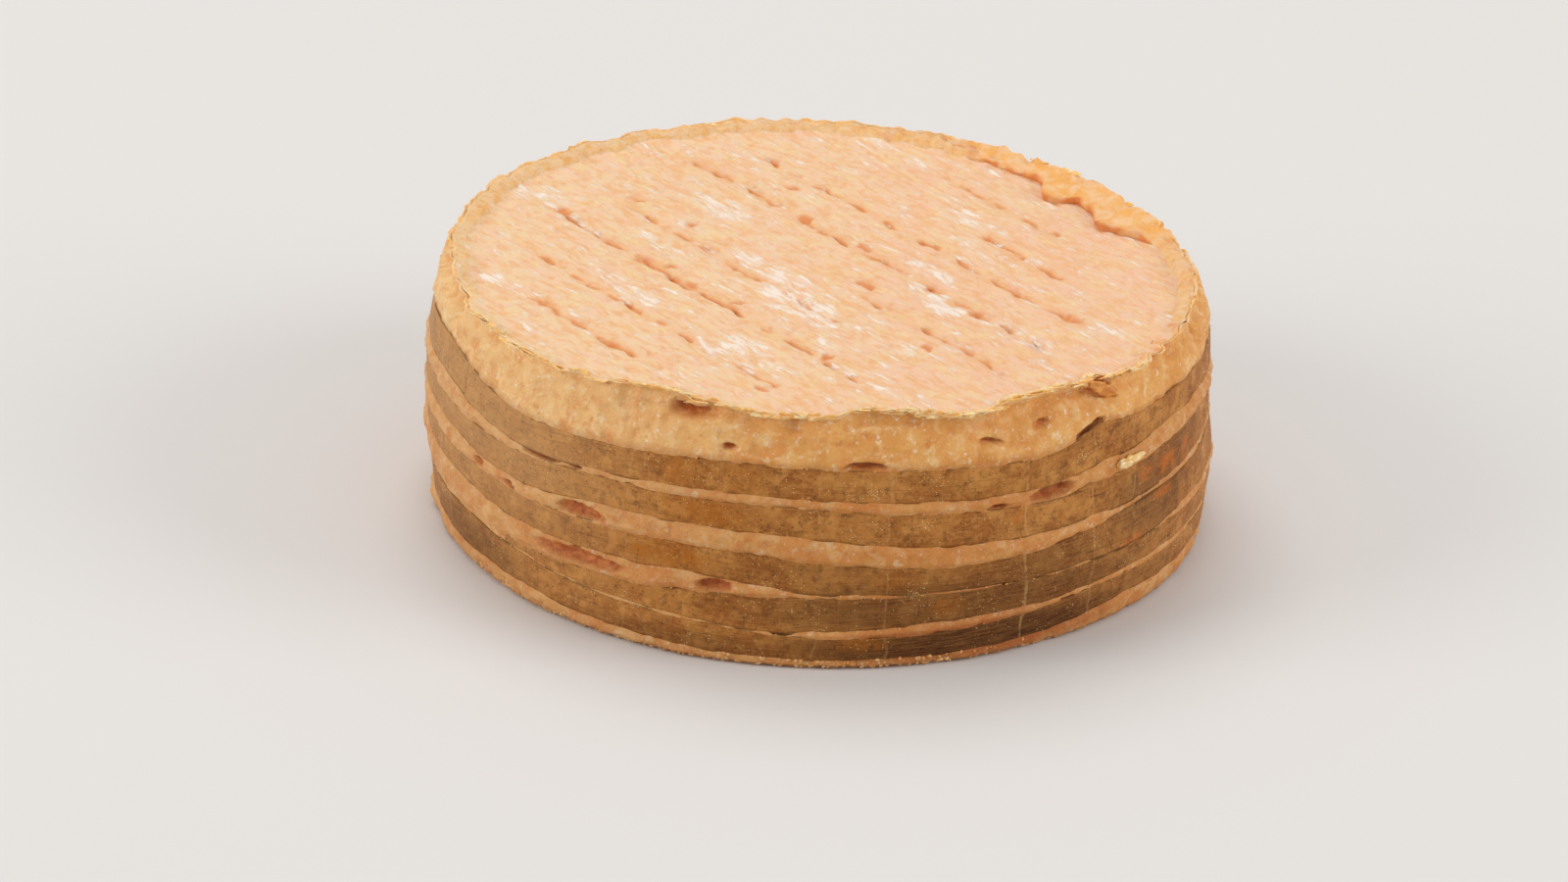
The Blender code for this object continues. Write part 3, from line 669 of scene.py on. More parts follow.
def make_top_skin():
    """The top skin: a grid rounded to a disc that runs out into the lip's crest."""
    bm = bmesh.new()
    masks = add_masks(bm, MASKS)
    grid = bmesh.ops.create_grid(bm, x_segments=TOP_CELLS, y_segments=TOP_CELLS, size=1.0)["verts"]
    edges = [top_edge(k * FULL_TURN / TOP_EDGE_STEPS) for k in range(TOP_EDGE_STEPS)]
    middle_radius = sum(edge[0] for edge in edges) / TOP_EDGE_STEPS
    for vertex in grid:
        u, v = vertex.co.x, vertex.co.y
        reach = max(abs(u), abs(v))
        if reach < 1e-6:
            turn = 0.0
        elif abs(u) >= abs(v):
            turn = math.pi / 4 * v / u + (0 if u > 0 else math.pi)
        else:
            turn = math.pi / 2 - math.pi / 4 * u / v + (0 if v > 0 else math.pi)
        angle = (math.degrees(turn) + 90) % FULL_TURN
        place = angle / FULL_TURN * TOP_EDGE_STEPS
        first, second = edges[int(place) % TOP_EDGE_STEPS], edges[(int(place) + 1) % TOP_EDGE_STEPS]
        edge, crest, dry, folded, orange = (a + (b - a) * (place % 1) for a, b in zip(first, second))
        radius = reach * (middle_radius + (edge - middle_radius) * reach**6)
        x = radius * math.sin(math.radians(angle))
        y = -radius * math.cos(math.radians(angle))
        height, furrow, pit, bloom, ridge = top_surface(x, y)
        inwards = edge - radius
        point = spot(angle, radius, crest)
        rise = smooth(1 - inwards / TOP_RISE) * (1 - folded)
        height += (crest - 0.1 + crest_lift(point) - height) * rise
        ragged = inwards + 1.1 * lump(point, 2.2, 4.0)
        vertex.co = (AXIS + Vector((x, y, height))) * MM
        vertex[masks["top"]] = 1.0
        vertex[masks["lip"]] = 1 - smooth(ragged / 1.5)
        vertex[masks["dry"]] = dry * math.exp(-((max(ragged, 0) / 0.9) ** 2))
        # Orange just inside the lip's edge, partly painted shade under the lip.
        lip_foot_orange_and_shade = smooth(orange * (0.7 + 1.2 * lump(point, 2.0, 9.0)))
        lip_foot_orange_and_shade *= math.exp(-(((ragged - 0.9) / 0.5) ** 2))
        values = {"furrow": furrow, "pit": max(pit, lip_foot_orange_and_shade), "bloom": bloom, "ridge": ridge}
        for name, value in values.items():
            vertex[masks[name]] = value
    for inwards, down in RIM_TUCKS:
        rim = [edge for edge in bm.edges if edge.is_boundary]
        lower = bmesh.ops.extrude_edge_only(bm, edges=rim)["geom"]
        for vertex in (item for item in lower if isinstance(item, bmesh.types.BMVert)):
            spoke = Vector((vertex.co.x, vertex.co.y, 0)) - AXIS * MM
            vertex.co -= spoke.normalized() * inwards * MM
            vertex.co.z = (INNER_LEVEL + RIM_ABOVE) * MM if down is None else vertex.co.z - down * MM
    close_up(bm)
    return bm


def make_strip(name):
    """A thin strip: its section is spun in steps, and each step then takes its own place."""
    edges = STRIPS[name]
    start, end = edges[0][0], edges[-1][0]
    steps = round((end - start) / STRIP_STEP)
    bm = bmesh.new()
    point_number = bm.verts.layers.int.new("point")
    masks = add_masks(bm, ("rim", "amber", "orange", "dark"))
    count = STRIP_POINTS + UNDERSIDE_POINTS
    section = []
    for k in range(count):
        turn = math.tau * k / count
        vertex = bm.verts.new(Vector((SPIN_RADIUS + math.cos(turn), 0, math.sin(turn))) * MM)
        vertex[point_number] = k
        section.append(vertex)
    loop = [bm.edges.new((section[k], section[(k + 1) % count])) for k in range(count)]
    bmesh.ops.spin(bm, geom=section + loop, axis=(0, 0, 1), angle=math.pi, steps=steps)
    thickness = bpy.context.scene.cheese_reed.thickness / MM
    table = [
        strip_section(name, start + (end - start) * k / steps, k == steps, thickness)
        for k in range(steps + 1)
    ]
    places = {}
    for vertex in bm.verts:
        station = round(math.atan2(vertex.co.y, vertex.co.x) / math.pi * steps)
        angle, height, radius, rim, flat = table[station][vertex[point_number]]
        vertex.co = spot(angle, radius, height) * MM
        vertex[masks["rim"]] = rim
        vertex[masks["amber"]] = patch_share(AMBER_STAINS, angle, height)
        vertex[masks["orange"]] = patch_share(ORANGE_STAINS, angle, height)
        # Painted shade on the strips, from the same patches as on the rind.
        vertex[masks["dark"]] = patch_share(PAINTED_SHADE_PATCHES, angle, height)
        places[vertex] = flat
    close_up(bm)
    layer = bm.loops.layers.uv.new("strip")
    for face in bm.faces:
        for corner in face.loops:
            corner[layer].uv = places[corner.vert]
    return bm


def strip_section(name, angle, last, thickness):
    """The points of a strip's section: angle, height, radius, rim mask and place on the flat strip."""
    edges = STRIPS[name]
    low, high = seen_edges(name, angle, whole_turn=False)
    seed = STRIP_ORDER.index(name) * 3.7
    edge_low = spot(angle, NOMINAL_RADIUS, low)
    edge_high = spot(angle, NOMINAL_RADIUS, high)
    low += 0.12 * lump(edge_low, 5.0, seed) - 0.12
    high += 0.12 * lump(edge_high, 5.0, seed) + 0.12
    lifted = angle - (edges[0][0] + FULL_TURN - LIFT_LENGTH - LIFT_END)
    past = smooth((angle - edges[-1][0] + PLUNGE_LENGTH) / PLUNGE_LENGTH)
    lift = OVERLAP_LIFT * smooth(lifted / LIFT_LENGTH) * (1 - past) - END_PLUNGE * past
    slant = SLANTED_END.get(name, 0) if last else 0
    stand = bpy.context.scene.cheese_reed.stand / MM
    points = []
    for k in range(STRIP_POINTS + UNDERSIDE_POINTS):
        outer = k < STRIP_POINTS
        share = k / (STRIP_POINTS - 1) if outer else 1 - (k - STRIP_POINTS + 0.5) / UNDERSIDE_POINTS
        turned = angle + slant * (0.5 - share)
        height = low + (high - low) * share
        edge = min(share, 1 - share) * (high - low)
        radius = side_radius(turned, height) + stand + lift
        point = spot(turned, radius, height)
        uneven = 0.1 * lump(point, 3.4, seed) + 0.04 * lump(point, 1.3, seed)
        radius += uneven - 0.12 * (1 - smooth(edge / 0.35))
        if not outer:
            radius -= thickness
        rim = 1 - smooth(edge / 0.45)
        flat = (angle * math.radians(1) * NOMINAL_RADIUS / FLAT_SCALE, (height - low) / FLAT_SCALE)
        points.append((turned, height, radius, rim, flat))
    return points


def on_side(angle, radius, height):
    """A place on the wheel that faces outwards."""
    return Matrix.Translation(spot(angle, radius, height) * MM) @ Matrix.Rotation(math.radians(angle), 4, "Z")


def add_flake(bm, angle, radius, height, length, width, tilt, lean, curl, seed):
    """One thin curled scrap of skin: a small grid, bent, with a ragged edge."""
    grid = bmesh.ops.create_grid(bm, x_segments=10, y_segments=4, size=0.5)["verts"]
    rng = Vector((seed, 2 * seed, 3 * seed))
    for vertex in grid:
        u, v = vertex.co.x, vertex.co.y
        edge = smooth((max(abs(u), abs(v)) - 0.3) / 0.2)
        taper = math.sqrt(max(1 - (2 * u) ** 2 * 0.8, 0.05))
        x = u * length * (1 + 0.3 * edge * noise.noise(Vector((v * 4, 0, 1)) + rng))
        z = v * width * taper * (1 + 0.7 * edge * noise.noise(Vector((u * 7, 5, 0)) + rng))
        out = curl * width * (v + 0.5) ** 2 + 0.16 * noise.noise(Vector((u * 5, v * 4, 2)) + rng)
        vertex.co = Vector((x, -out, z)) * MM
    turn = (
        on_side(angle, radius, height)
        @ Matrix.Rotation(math.radians(lean), 4, "X")
        @ Matrix.Rotation(-math.radians(tilt), 4, "Y")
    )
    bmesh.ops.transform(bm, matrix=turn, verts=grid)
    return grid


def thicken(bm, thickness):
    bmesh.ops.recalc_face_normals(bm, faces=bm.faces[:])
    bmesh.ops.solidify(bm, geom=bm.faces[:], thickness=thickness)
    bmesh.ops.recalc_face_normals(bm, faces=bm.faces[:])


def make_lip_flakes(count):
    """Dry scales of skin along the crest of the lip, most where it is driest."""
    rng = random.Random(11)
    bm = bmesh.new()
    made = 0
    while made < count:
        angle = rng.uniform(-180, 180) if rng.random() < 0.3 else rng.uniform(-66, 56)
        if rng.random() > round_curve(DRYNESS, angle) ** 1.5:
            continue
        radius, height, _, lean = lip_crest(angle)
        add_flake(
            bm, angle, radius + lean - rng.uniform(0.0, 0.7), height - rng.uniform(-0.05, 0.3),
            rng.uniform(1.2, 4.0), rng.uniform(0.4, 1.0), rng.uniform(-16, 16), rng.uniform(-10, 90),
            rng.uniform(-0.2, 0.4), rng.uniform(0, 90),
        )
        made += 1
    thicken(bm, 0.1 * MM)
    return bm


def make_hanging_skin():
    """The flap that hangs from the lip at the right."""
    bm = bmesh.new()
    add_flake(bm, 46.2, side_radius(46.2, 38) - 0.1, 38.2, 7.0, 1.9, -34, 8, 0.5, 4.0)
    add_flake(bm, 43.6, side_radius(43.6, 39) - 0.2, 39.4, 3.6, 1.4, -20, 16, 0.4, 9.0)
    thicken(bm, 0.3 * MM)
    return bm


def make_dried_curl():
    """The bright scrap that stands on the side at the right."""
    bm = bmesh.new()
    radius = side_radius(51.5, 25.6)
    add_flake(bm, 51.2, radius + 0.5, 25.7, 6.4, 1.3, -2, -12, 0.35, 6.0)
    add_flake(bm, 49.6, radius + 0.8, 25.5, 3.0, 1.0, -10, -4, 0.5, 8.0)
    thicken(bm, 0.4 * MM)
    return bm


def scatter(shape, places):
    """Copies of one small shape at each of places, given as matrices, in one mesh."""
    bm = bmesh.new()
    for place in places:
        copy = shape.copy()
        copy.transform(place)
        bm.from_mesh(copy)
        bpy.data.meshes.remove(copy)
    bpy.data.meshes.remove(shape)
    return bm


def small_shape(name, segments=None):
    """A rough pebble, or a thin hair when its number of sides is given."""
    bm = bmesh.new()
    if segments:
        bmesh.ops.create_cone(bm, cap_ends=True, segments=segments, radius1=0.5, radius2=0.12, depth=1.0)
        bmesh.ops.translate(bm, vec=(0, 0, 0.5), verts=bm.verts[:])
    else:
        bmesh.ops.create_icosphere(bm, subdivisions=1, radius=0.5)
        for vertex in bm.verts:
            vertex.co *= 1 + 0.35 * noise.noise(vertex.co * 3)
    mesh = bpy.data.meshes.new(name)
    bm.to_mesh(mesh)
    bm.free()
    return mesh


def turned_at(angle, radius, height, rng, size, squash=1.0):
    """A small shape's place: size across, squashed against the side, turned at random."""
    turn = Matrix.Rotation(rng.uniform(0, math.tau), 4, "Y")
    scale = Matrix.Diagonal((size * MM, size * squash * MM, size * rng.uniform(0.6, 1.0) * MM, 1))
    return on_side(angle, radius, height) @ turn @ scale


def make_crumbs(count):
    """Crumbs of rind along the foot and on the strips' edges."""
    rng = random.Random(23)
    places = []
    for _ in range(count):
        angle = rng.uniform(-180, 180)
        if rng.random() < 0.8:
            height = rng.uniform(0.25, 1.6)
            radius = side_radius(angle, height) - 0.05
            size = rng.uniform(0.3, 0.85)
        else:
            name = rng.choice(STRIP_ORDER)
            low, high = seen_edges(name, angle)
            height = rng.choice((low - 0.1, high + 0.1))
            radius = side_radius(angle, height) + 0.05
            size = rng.uniform(0.18, 0.4)
        places.append(turned_at(angle, radius, max(height, 0.7 * size), rng, size, 0.7))
    return scatter(small_shape("crumb"), places)


def make_crystals(count):
    """Small crystals in clusters on the strips and on the lip's crest."""
    rng = random.Random(31)
    clusters = []
    for _ in range(70):
        clusters.append((rng.uniform(-180, 180), rng.uniform(3, 32), rng.uniform(0.8, 3.0)))
    clusters += SEEN_CLUSTERS
    stand = bpy.context.scene.cheese_reed.stand / MM
    places = []
    for _ in range(count):
        if rng.random() < 0.2:
            angle = rng.uniform(-180, 180)
            radius, height, _, _ = lip_crest(angle)
            height -= rng.uniform(0.1, 1.6)
            radius = max(radius, side_radius(angle, height)) + 0.02
        else:
            middle, level, spread = rng.choice(clusters)
            angle = middle + rng.gauss(0, spread * 0.8)
            height = level + rng.gauss(0, spread * 0.6)
            if not 1.5 < height < 33:
                continue
            radius = side_radius(angle, height) + stand + 0.03
        places.append(turned_at(angle, radius, height, rng, rng.uniform(0.07, 0.17), 0.6))
    return scatter(small_shape("crystal"), places)


def make_hairs(count):
    """Fine fluff that stands off the side, most of it at the right and along the foot."""
    rng = random.Random(47)
    places = []
    for _ in range(count):
        if rng.random() < 0.55:
            angle = rng.uniform(-180, 180)
            height = rng.uniform(0.2, 1.6)
        else:
            angle = rng.uniform(40, 140) if rng.random() < 0.6 else rng.uniform(-180, 180)
            height = rng.uniform(2, 36)
        radius = side_radius(angle, height) + 0.02
        length = rng.uniform(0.4, 1.1)
        out = Matrix.Rotation(math.radians(90 + rng.uniform(-50, 50)), 4, "X")
        aside = Matrix.Rotation(math.radians(rng.uniform(-50, 50)), 4, "Z")
        scale = Matrix.Diagonal((0.05 * MM, 0.05 * MM, length * MM, 1))
        place = on_side(angle, radius, height) @ aside @ out @ scale
        if (place @ Vector((0, 0, 1))).z > 0.05 * MM:
            places.append(place)
    return scatter(small_shape("hair", 3), places)


# Node building

def add(tree, kind, inputs=None, **settings):
    """A node with its settings, whose inputs are values or other nodes' sockets."""
    node = tree.nodes.new(kind)
    for name, value in settings.items():
        setattr(node, name, value)
    for key, value in (inputs or {}).items():
        if isinstance(value, bpy.types.NodeSocket):
            tree.links.new(value, node.inputs[key])
        else:
            node.inputs[key].default_value = value
    return node


def maths(tree, operation, first, second=0.0, clamp=False):
    node = add(tree, "ShaderNodeMath", {0: first, 1: second}, operation=operation, use_clamp=clamp)
    return node.outputs[0]


def times(tree, first, second, clamp=False):
    return maths(tree, "MULTIPLY", first, second, clamp)


def plus(tree, first, second):
    return maths(tree, "ADD", first, second)


def span(tree, value, low, high, to_low=0.0, to_high=1.0):
    """A soft step of value between low and high."""
    inputs = {"Value": value, "From Min": low, "From Max": high, "To Min": to_low, "To Max": to_high}
    return add(tree, "ShaderNodeMapRange", inputs, interpolation_type="SMOOTHSTEP").outputs["Result"]


def mixed(tree, share, first, second, blend="MIX"):
    """Two colours mixed by share."""
    colours = {}
    for key, colour in ((6, first), (7, second)):
        colours[key] = colour if isinstance(colour, bpy.types.NodeSocket) else (*colour, 1.0)
    node = add(tree, "ShaderNodeMix", {0: share, **colours}, data_type="RGBA", blend_type=blend)
    return node.outputs[2]


def noise_of(tree, vector, scale, detail=3.0, roughness=0.55, distortion=0.0):
    inputs = {
        "Vector": vector, "Scale": scale, "Detail": detail, "Roughness": roughness, "Distortion": distortion,
    }
    return add(tree, "ShaderNodeTexNoise", inputs).outputs["Fac"]


def scaled(tree, vector, factors):
    node = add(tree, "ShaderNodeVectorMath", {0: vector, 1: factors}, operation="MULTIPLY")
    return node.outputs[0]


def mask(tree, name):
    return add(tree, "ShaderNodeAttribute", attribute_name=name, attribute_type="GEOMETRY").outputs["Fac"]


def effect(name, values, outputs, build):
    """A shared node group, built once, whose inputs are a place and values with their defaults."""
    group = bpy.data.node_groups.get(name)
    if group:
        return group
    group = bpy.data.node_groups.new(name, "ShaderNodeTree")
    group.interface.new_socket("Vector", in_out="INPUT", socket_type="NodeSocketVector")
    for label, value in values.items():
        kind = "NodeSocketFloat" if isinstance(value, float) else "NodeSocketColor"
        group.interface.new_socket(label, in_out="INPUT", socket_type=kind).default_value = value
    for label in outputs:
        kind = "NodeSocketColor" if label == "Colour" else "NodeSocketFloat"
        group.interface.new_socket(label, in_out="OUTPUT", socket_type=kind)
    entry = group.nodes.new("NodeGroupInput")
    results = build(group, entry.outputs)
    add(group, "NodeGroupOutput", dict(zip(outputs, results)))
    return group


def blotches_group():
    """Soft blotches of one size, between two levels of noise."""

    def build(tree, given):
        scale = maths(tree, "DIVIDE", 1.0, given["Size"])
        value = noise_of(tree, given["Vector"], scale, detail=4.0, roughness=0.6, distortion=0.35)
        return [span(tree, value, given["Low"], given["High"])]

    return effect("soft blotches", {"Size": 5.0, "Low": 0.4, "High": 0.6}, ["Mask"], build)


def strokes_group():
    """Broken strokes that run along X, with a given length and width."""

    def build(tree, given):
        length = maths(tree, "DIVIDE", 1.0, given["Length"])
        width = maths(tree, "DIVIDE", 1.0, given["Width"])
        factors = add(tree, "ShaderNodeCombineXYZ", {0: length, 1: width, 2: width}).outputs[0]
        stretched = scaled(tree, given["Vector"], factors)
        value = noise_of(tree, stretched, 1.0, detail=3.0, roughness=0.6, distortion=0.25)
        return [span(tree, value, given["Low"], given["High"]), value]

    values = {"Length": 4.0, "Width": 0.6, "Low": 0.5, "High": 0.65}
    return effect("broken strokes", values, ["Mask", "Height"], build)


def specks_group():
    """Round specks of one size on a share of the surface."""

    def build(tree, given):
        scale = maths(tree, "DIVIDE", 1.0, given["Size"])
        inputs = {"Vector": given["Vector"], "Scale": scale, "Randomness": 1.0}
        cells = add(tree, "ShaderNodeTexVoronoi", inputs)
        chance = add(tree, "ShaderNodeSeparateColor", {0: cells.outputs["Color"]}).outputs[0]
        kept = maths(tree, "LESS_THAN", chance, given["Share"])
        dot = span(tree, cells.outputs["Distance"], 0.42, 0.2)
        return [times(tree, dot, kept)]

    return effect("small specks", {"Size": 0.5, "Share": 0.3}, ["Mask"], build)


def grain_group():
    """Fine unevenness of a dried or damp skin, for relief and small changes of colour."""

    def build(tree, given):
        scale = maths(tree, "DIVIDE", 1.0, given["Size"])
        coarse = noise_of(tree, given["Vector"], scale, detail=6.0, roughness=0.65)
        fine = noise_of(tree, given["Vector"], times(tree, scale, 3.3), detail=4.0, roughness=0.7)
        height = plus(tree, coarse, times(tree, fine, 0.45))
        return [height, span(tree, fine, 0.35, 0.65)]

    return effect("skin grain", {"Size": 1.0}, ["Height", "Mask"], build)


def use(tree, group, vector, **values):
    """An effect placed in a material with its own values."""
    node = tree.nodes.new("ShaderNodeGroup")
    node.node_tree = group
    tree.links.new(vector, node.inputs["Vector"])
    for name, value in values.items():
        key = name.capitalize()
        if isinstance(value, bpy.types.NodeSocket):
            tree.links.new(value, node.inputs[key])
        else:
            node.inputs[key].default_value = value
    return node.outputs


def new_material(name):
    """A material's tree, its main shader and the place on the object in millimetres."""
    material = bpy.data.materials.new(name)
    material.use_nodes = True
    tree = material.node_tree
    shader = tree.nodes["Principled BSDF"]
    place = add(tree, "ShaderNodeTexCoord").outputs["Object"]
    return material, tree, shader, scaled(tree, place, (1000, 1000, 1000))


def shifted(tree, vector, by):
    return add(tree, "ShaderNodeVectorMath", {0: vector, 1: (by, by, by)}, operation="ADD").outputs[0]


def bump(tree, height, distance, normal=None):
    inputs = {"Height": height, "Strength": 1.0, "Distance": distance * MM}
    if normal:
        inputs["Normal"] = normal
    return add(tree, "ShaderNodeBump", inputs).outputs[0]


def soft_food(shader, weight, scale):
    """Light that goes a little way into the food."""
    shader.inputs["Subsurface Weight"].default_value = weight
    shader.inputs["Subsurface Radius"].default_value = (1.0, 0.45, 0.2)
    shader.inputs["Subsurface Scale"].default_value = scale * MM


def laid_on(tree, colour, over, share, strength):
    """A colour laid over another where share is, as strongly as strength says."""
    return mixed(tree, times(tree, share, strength), colour, over)


def from_settings(settings):
    """Gives a group's settings by their names."""
    return lambda name: getattr(settings, name)


def layered(tree, colour, place, colour_of, layers):
    """A colour with others laid over it in turn, each by the mask of an effect."""
    for group, shift, strength, name, values in layers:
        share = use(tree, group(), shifted(tree, place, shift), **values)["Mask"]
        colour = laid_on(tree, colour, colour_of(name), share, strength)
    return colour


# Layers of colour: effect, shift of its place, strength, colour and the effect's values
SIDE_GROUND = ((blotches_group, 0, 1.0, "ochre", dict(size=8.0, low=0.38, high=0.62)),)
SIDE_LAYERS = (
    (blotches_group, 31, 0.55, "orange", dict(size=3.6, low=0.5, high=0.66)),
    (blotches_group, 131, 0.5, "butter", dict(size=2.6, low=0.5, high=0.66)),
    (blotches_group, 57, 0.75, "pale", dict(size=1.6, low=0.58, high=0.68)),
    (specks_group, 11, 0.3, "orange", dict(size=0.9, share=0.14)),
    (blotches_group, 171, 0.5, "orange", dict(size=0.7, low=0.56, high=0.7)),
)
TOP_LAYERS = (
    (blotches_group, 71, 0.6, "straw", dict(size=5.0, low=0.46, high=0.62)),
    (blotches_group, 103, 0.55, "warm", dict(size=2.6, low=0.5, high=0.7)),
)
TOP_STROKES = ((strokes_group, 23, 0.6, "rose", dict(length=5.0, width=1.6, low=0.5, high=0.66)),)
REED_LAYERS = (
    (blotches_group, 0, 1.0, "brown", dict(size=7.0, low=0.36, high=0.62)),
    (blotches_group, 47, 0.7, "through", dict(size=3.0, low=0.48, high=0.68)),
    (blotches_group, 67, 0.42, "deep", dict(size=1.6, low=0.5, high=0.66)),
    (blotches_group, 113, 0.5, "fibre", dict(size=0.8, low=0.5, high=0.66)),
)
SIDE_COLOURS = ("cream", "ochre", "butter", "golden", "orange", "pale", "bloom")


def side_colour_group():
    """The colour of the rind on the side."""

    def build(tree, given):
        place = given["Vector"]

        def colour_of(name):
            return given[name.capitalize()]

        colour = layered(tree, given["Cream"], place, colour_of, SIDE_GROUND)
        right, _, high = add(tree, "ShaderNodeSeparateXYZ", {0: place}).outputs
        buttery = times(tree, span(tree, right, 5.0, -50.0), span(tree, high, 12.0, 30.0, 0.3, 0.8))
        colour = mixed(tree, buttery, colour, given["Butter"])
        colour = mixed(tree, span(tree, right, -30.0, 10.0, 0.25, 0.45), colour, given["Golden"])
        colour = layered(tree, colour, place, colour_of, SIDE_LAYERS)
        milky = use(tree, blotches_group(), shifted(tree, place, 191), size=0.9, low=0.62, high=0.7)["Mask"]
        dots = use(tree, specks_group(), place, size=0.45, share=0.1)["Mask"]
        white = maths(tree, "MAXIMUM", milky, times(tree, dots, 0.5))
        return [laid_on(tree, colour, given["Bloom"], white, 0.6)]

    values = {name.capitalize(): (1.0, 1.0, 1.0, 1.0) for name in SIDE_COLOURS}
    return effect("rind side colour", values, ["Colour"], build)


def side_colour(tree, place, settings):
    colours = {name: (*getattr(settings, name), 1.0) for name in SIDE_COLOURS}
    return use(tree, side_colour_group(), place, **colours)["Colour"]


def rind_material():
    settings = bpy.context.scene.cheese_rind
    material, tree, shader, place = new_material("washed_rind")
    blotches, strokes, specks = blotches_group(), strokes_group(), specks_group()
    top, lip, dry, hollow, foot, dark, furrow, pit, bloom, ridge = (mask(tree, name) for name in MASKS)

    side = side_colour(tree, place, settings)
    side = laid_on(tree, side, settings.orange, furrow, 0.25)
    side = laid_on(tree, side, settings.orange, pit, 0.35)
    streaky = use(tree, strokes, place, length=3.5, width=0.8, low=0.48, high=0.62)["Mask"]
    side = mixed(tree, times(tree, streaky, times(tree, foot, 0.75)), side, settings.foot)
    # Painted shade inside the hollows: a darker tone, mottled with a lighter one.
    deep = use(tree, blotches, shifted(tree, place, 17), size=1.3, low=0.35, high=0.65)["Mask"]
    side = mixed(tree, hollow, side, mixed(tree, deep, settings.hollow, settings.hollow_light))
    # Painted shade: the side's colour is multiplied by a brown tint where the shade mask is.
    side = mixed(tree, dark, side, settings.damp, "MULTIPLY")

    turned = add(
        tree, "ShaderNodeMapping", {"Vector": place, "Rotation": (0, 0, math.radians(FURROW_HEADING))},
    ).outputs[0]
    right = add(tree, "ShaderNodeSeparateXYZ", {0: place}).outputs[0]
    broad = noise_of(tree, place, 0.06, detail=2.0)
    pinker = span(tree, plus(tree, times(tree, right, 0.006), broad), 0.35, 0.75)
    skin = mixed(tree, pinker, settings.peach, settings.pink)
    skin = layered(tree, skin, place, from_settings(settings), TOP_LAYERS)
    skin = layered(tree, skin, turned, from_settings(settings), TOP_STROKES)
    warm = use(tree, strokes, shifted(tree, turned, 43), length=3.0, width=1.1, low=0.5, high=0.66)["Mask"]
    valley = span(tree, ridge, 0.5, 0.22)
    warm = maths(tree, "MAXIMUM", times(tree, warm, 0.6), times(tree, valley, 0.5))
    warm = maths(tree, "MAXIMUM", warm, times(tree, furrow, 0.9))
    skin = mixed(tree, warm, skin, settings.warm)
    skin = mixed(tree, times(tree, span(tree, furrow, 0.4, 1.0), 0.6), skin, settings.pit)
    # Orange pits, and the orange inside the lip's edge, which is partly painted shade.
    skin = laid_on(tree, skin, settings.pit, pit, 0.85)
    stroke = use(tree, strokes, turned, length=2.6, width=0.55, low=0.0, high=1.0)
    level = plus(tree, times(tree, ridge, 0.4), times(tree, stroke["Height"], 0.6))
    level = plus(tree, level, times(tree, bloom, 0.15))
    inner = maths(tree, "SUBTRACT", 1.0, maths(tree, "MAXIMUM", lip, pit))
    white = times(tree, span(tree, level, 0.56, 0.7), times(tree, inner, 0.9))
    apart = shifted(tree, turned, 5)
    soft_white = use(tree, strokes, apart, length=3.0, width=1.2, low=0.46, high=0.62)["Mask"]
    cover = times(tree, soft_white, times(tree, bloom, 0.4))
    white = maths(tree, "MAXIMUM", white, times(tree, cover, inner))
    skin = mixed(tree, white, skin, settings.bloom)

    colour = mixed(tree, top, side, skin)
    ragged = use(tree, blotches, shifted(tree, place, 91), size=3.0, low=0.3, high=0.6)["Mask"]
    amber = times(tree, lip, plus(tree, times(tree, ragged, 0.45), 0.4))
    colour = mixed(tree, amber, colour, settings.amber)
    fleshy = use(tree, blotches, shifted(tree, place, 151), size=2.4, low=0.42, high=0.62)["Mask"]
    colour = mixed(tree, times(tree, times(tree, fleshy, lip), 0.6), colour, settings.peach)
    # Orange under the lip's tip and fold, partly painted shade.
    colour = mixed(tree, times(tree, times(tree, pit, lip), 0.9), colour, settings.pit)
    crust = use(tree, blotches, shifted(tree, place, 13), size=1.0, low=0.38, high=0.56)["Mask"]
    dried = times(tree, times(tree, dry, 1.2), crust, clamp=True)
    colour = mixed(tree, dried, colour, settings.dry)
    brown = use(tree, specks, shifted(tree, place, 3), size=0.6, share=0.22)["Mask"]
    colour = mixed(tree, times(tree, brown, times(tree, dry, 0.5)), colour, settings.toast)
    grain = use(tree, grain_group(), place, size=1.1)
    colour = laid_on(tree, colour, settings.pale, grain["Mask"], 0.08)
    tree.links.new(colour, shader.inputs["Base Color"])

    matt = maths(tree, "MAXIMUM", white, dried)
    damp = span(tree, top, 0.0, 1.0, 0.4, 0.55)
    rough = plus(tree, damp, times(tree, matt, 0.25))
    rough = plus(tree, rough, times(tree, grain["Mask"], 0.12))
    tree.links.new(rough, shader.inputs["Roughness"])
    ridges = times(tree, stroke["Height"], times(tree, top, 1.2))
    relief = plus(tree, times(tree, grain["Height"], 0.9), ridges)
    relief = plus(tree, relief, times(tree, white, 0.3))
    tree.links.new(bump(tree, relief, 0.3), shader.inputs["Normal"])
    shader.inputs["Specular IOR Level"].default_value = 0.25
    soft_food(shader, 0.15, 0.6)
    return material


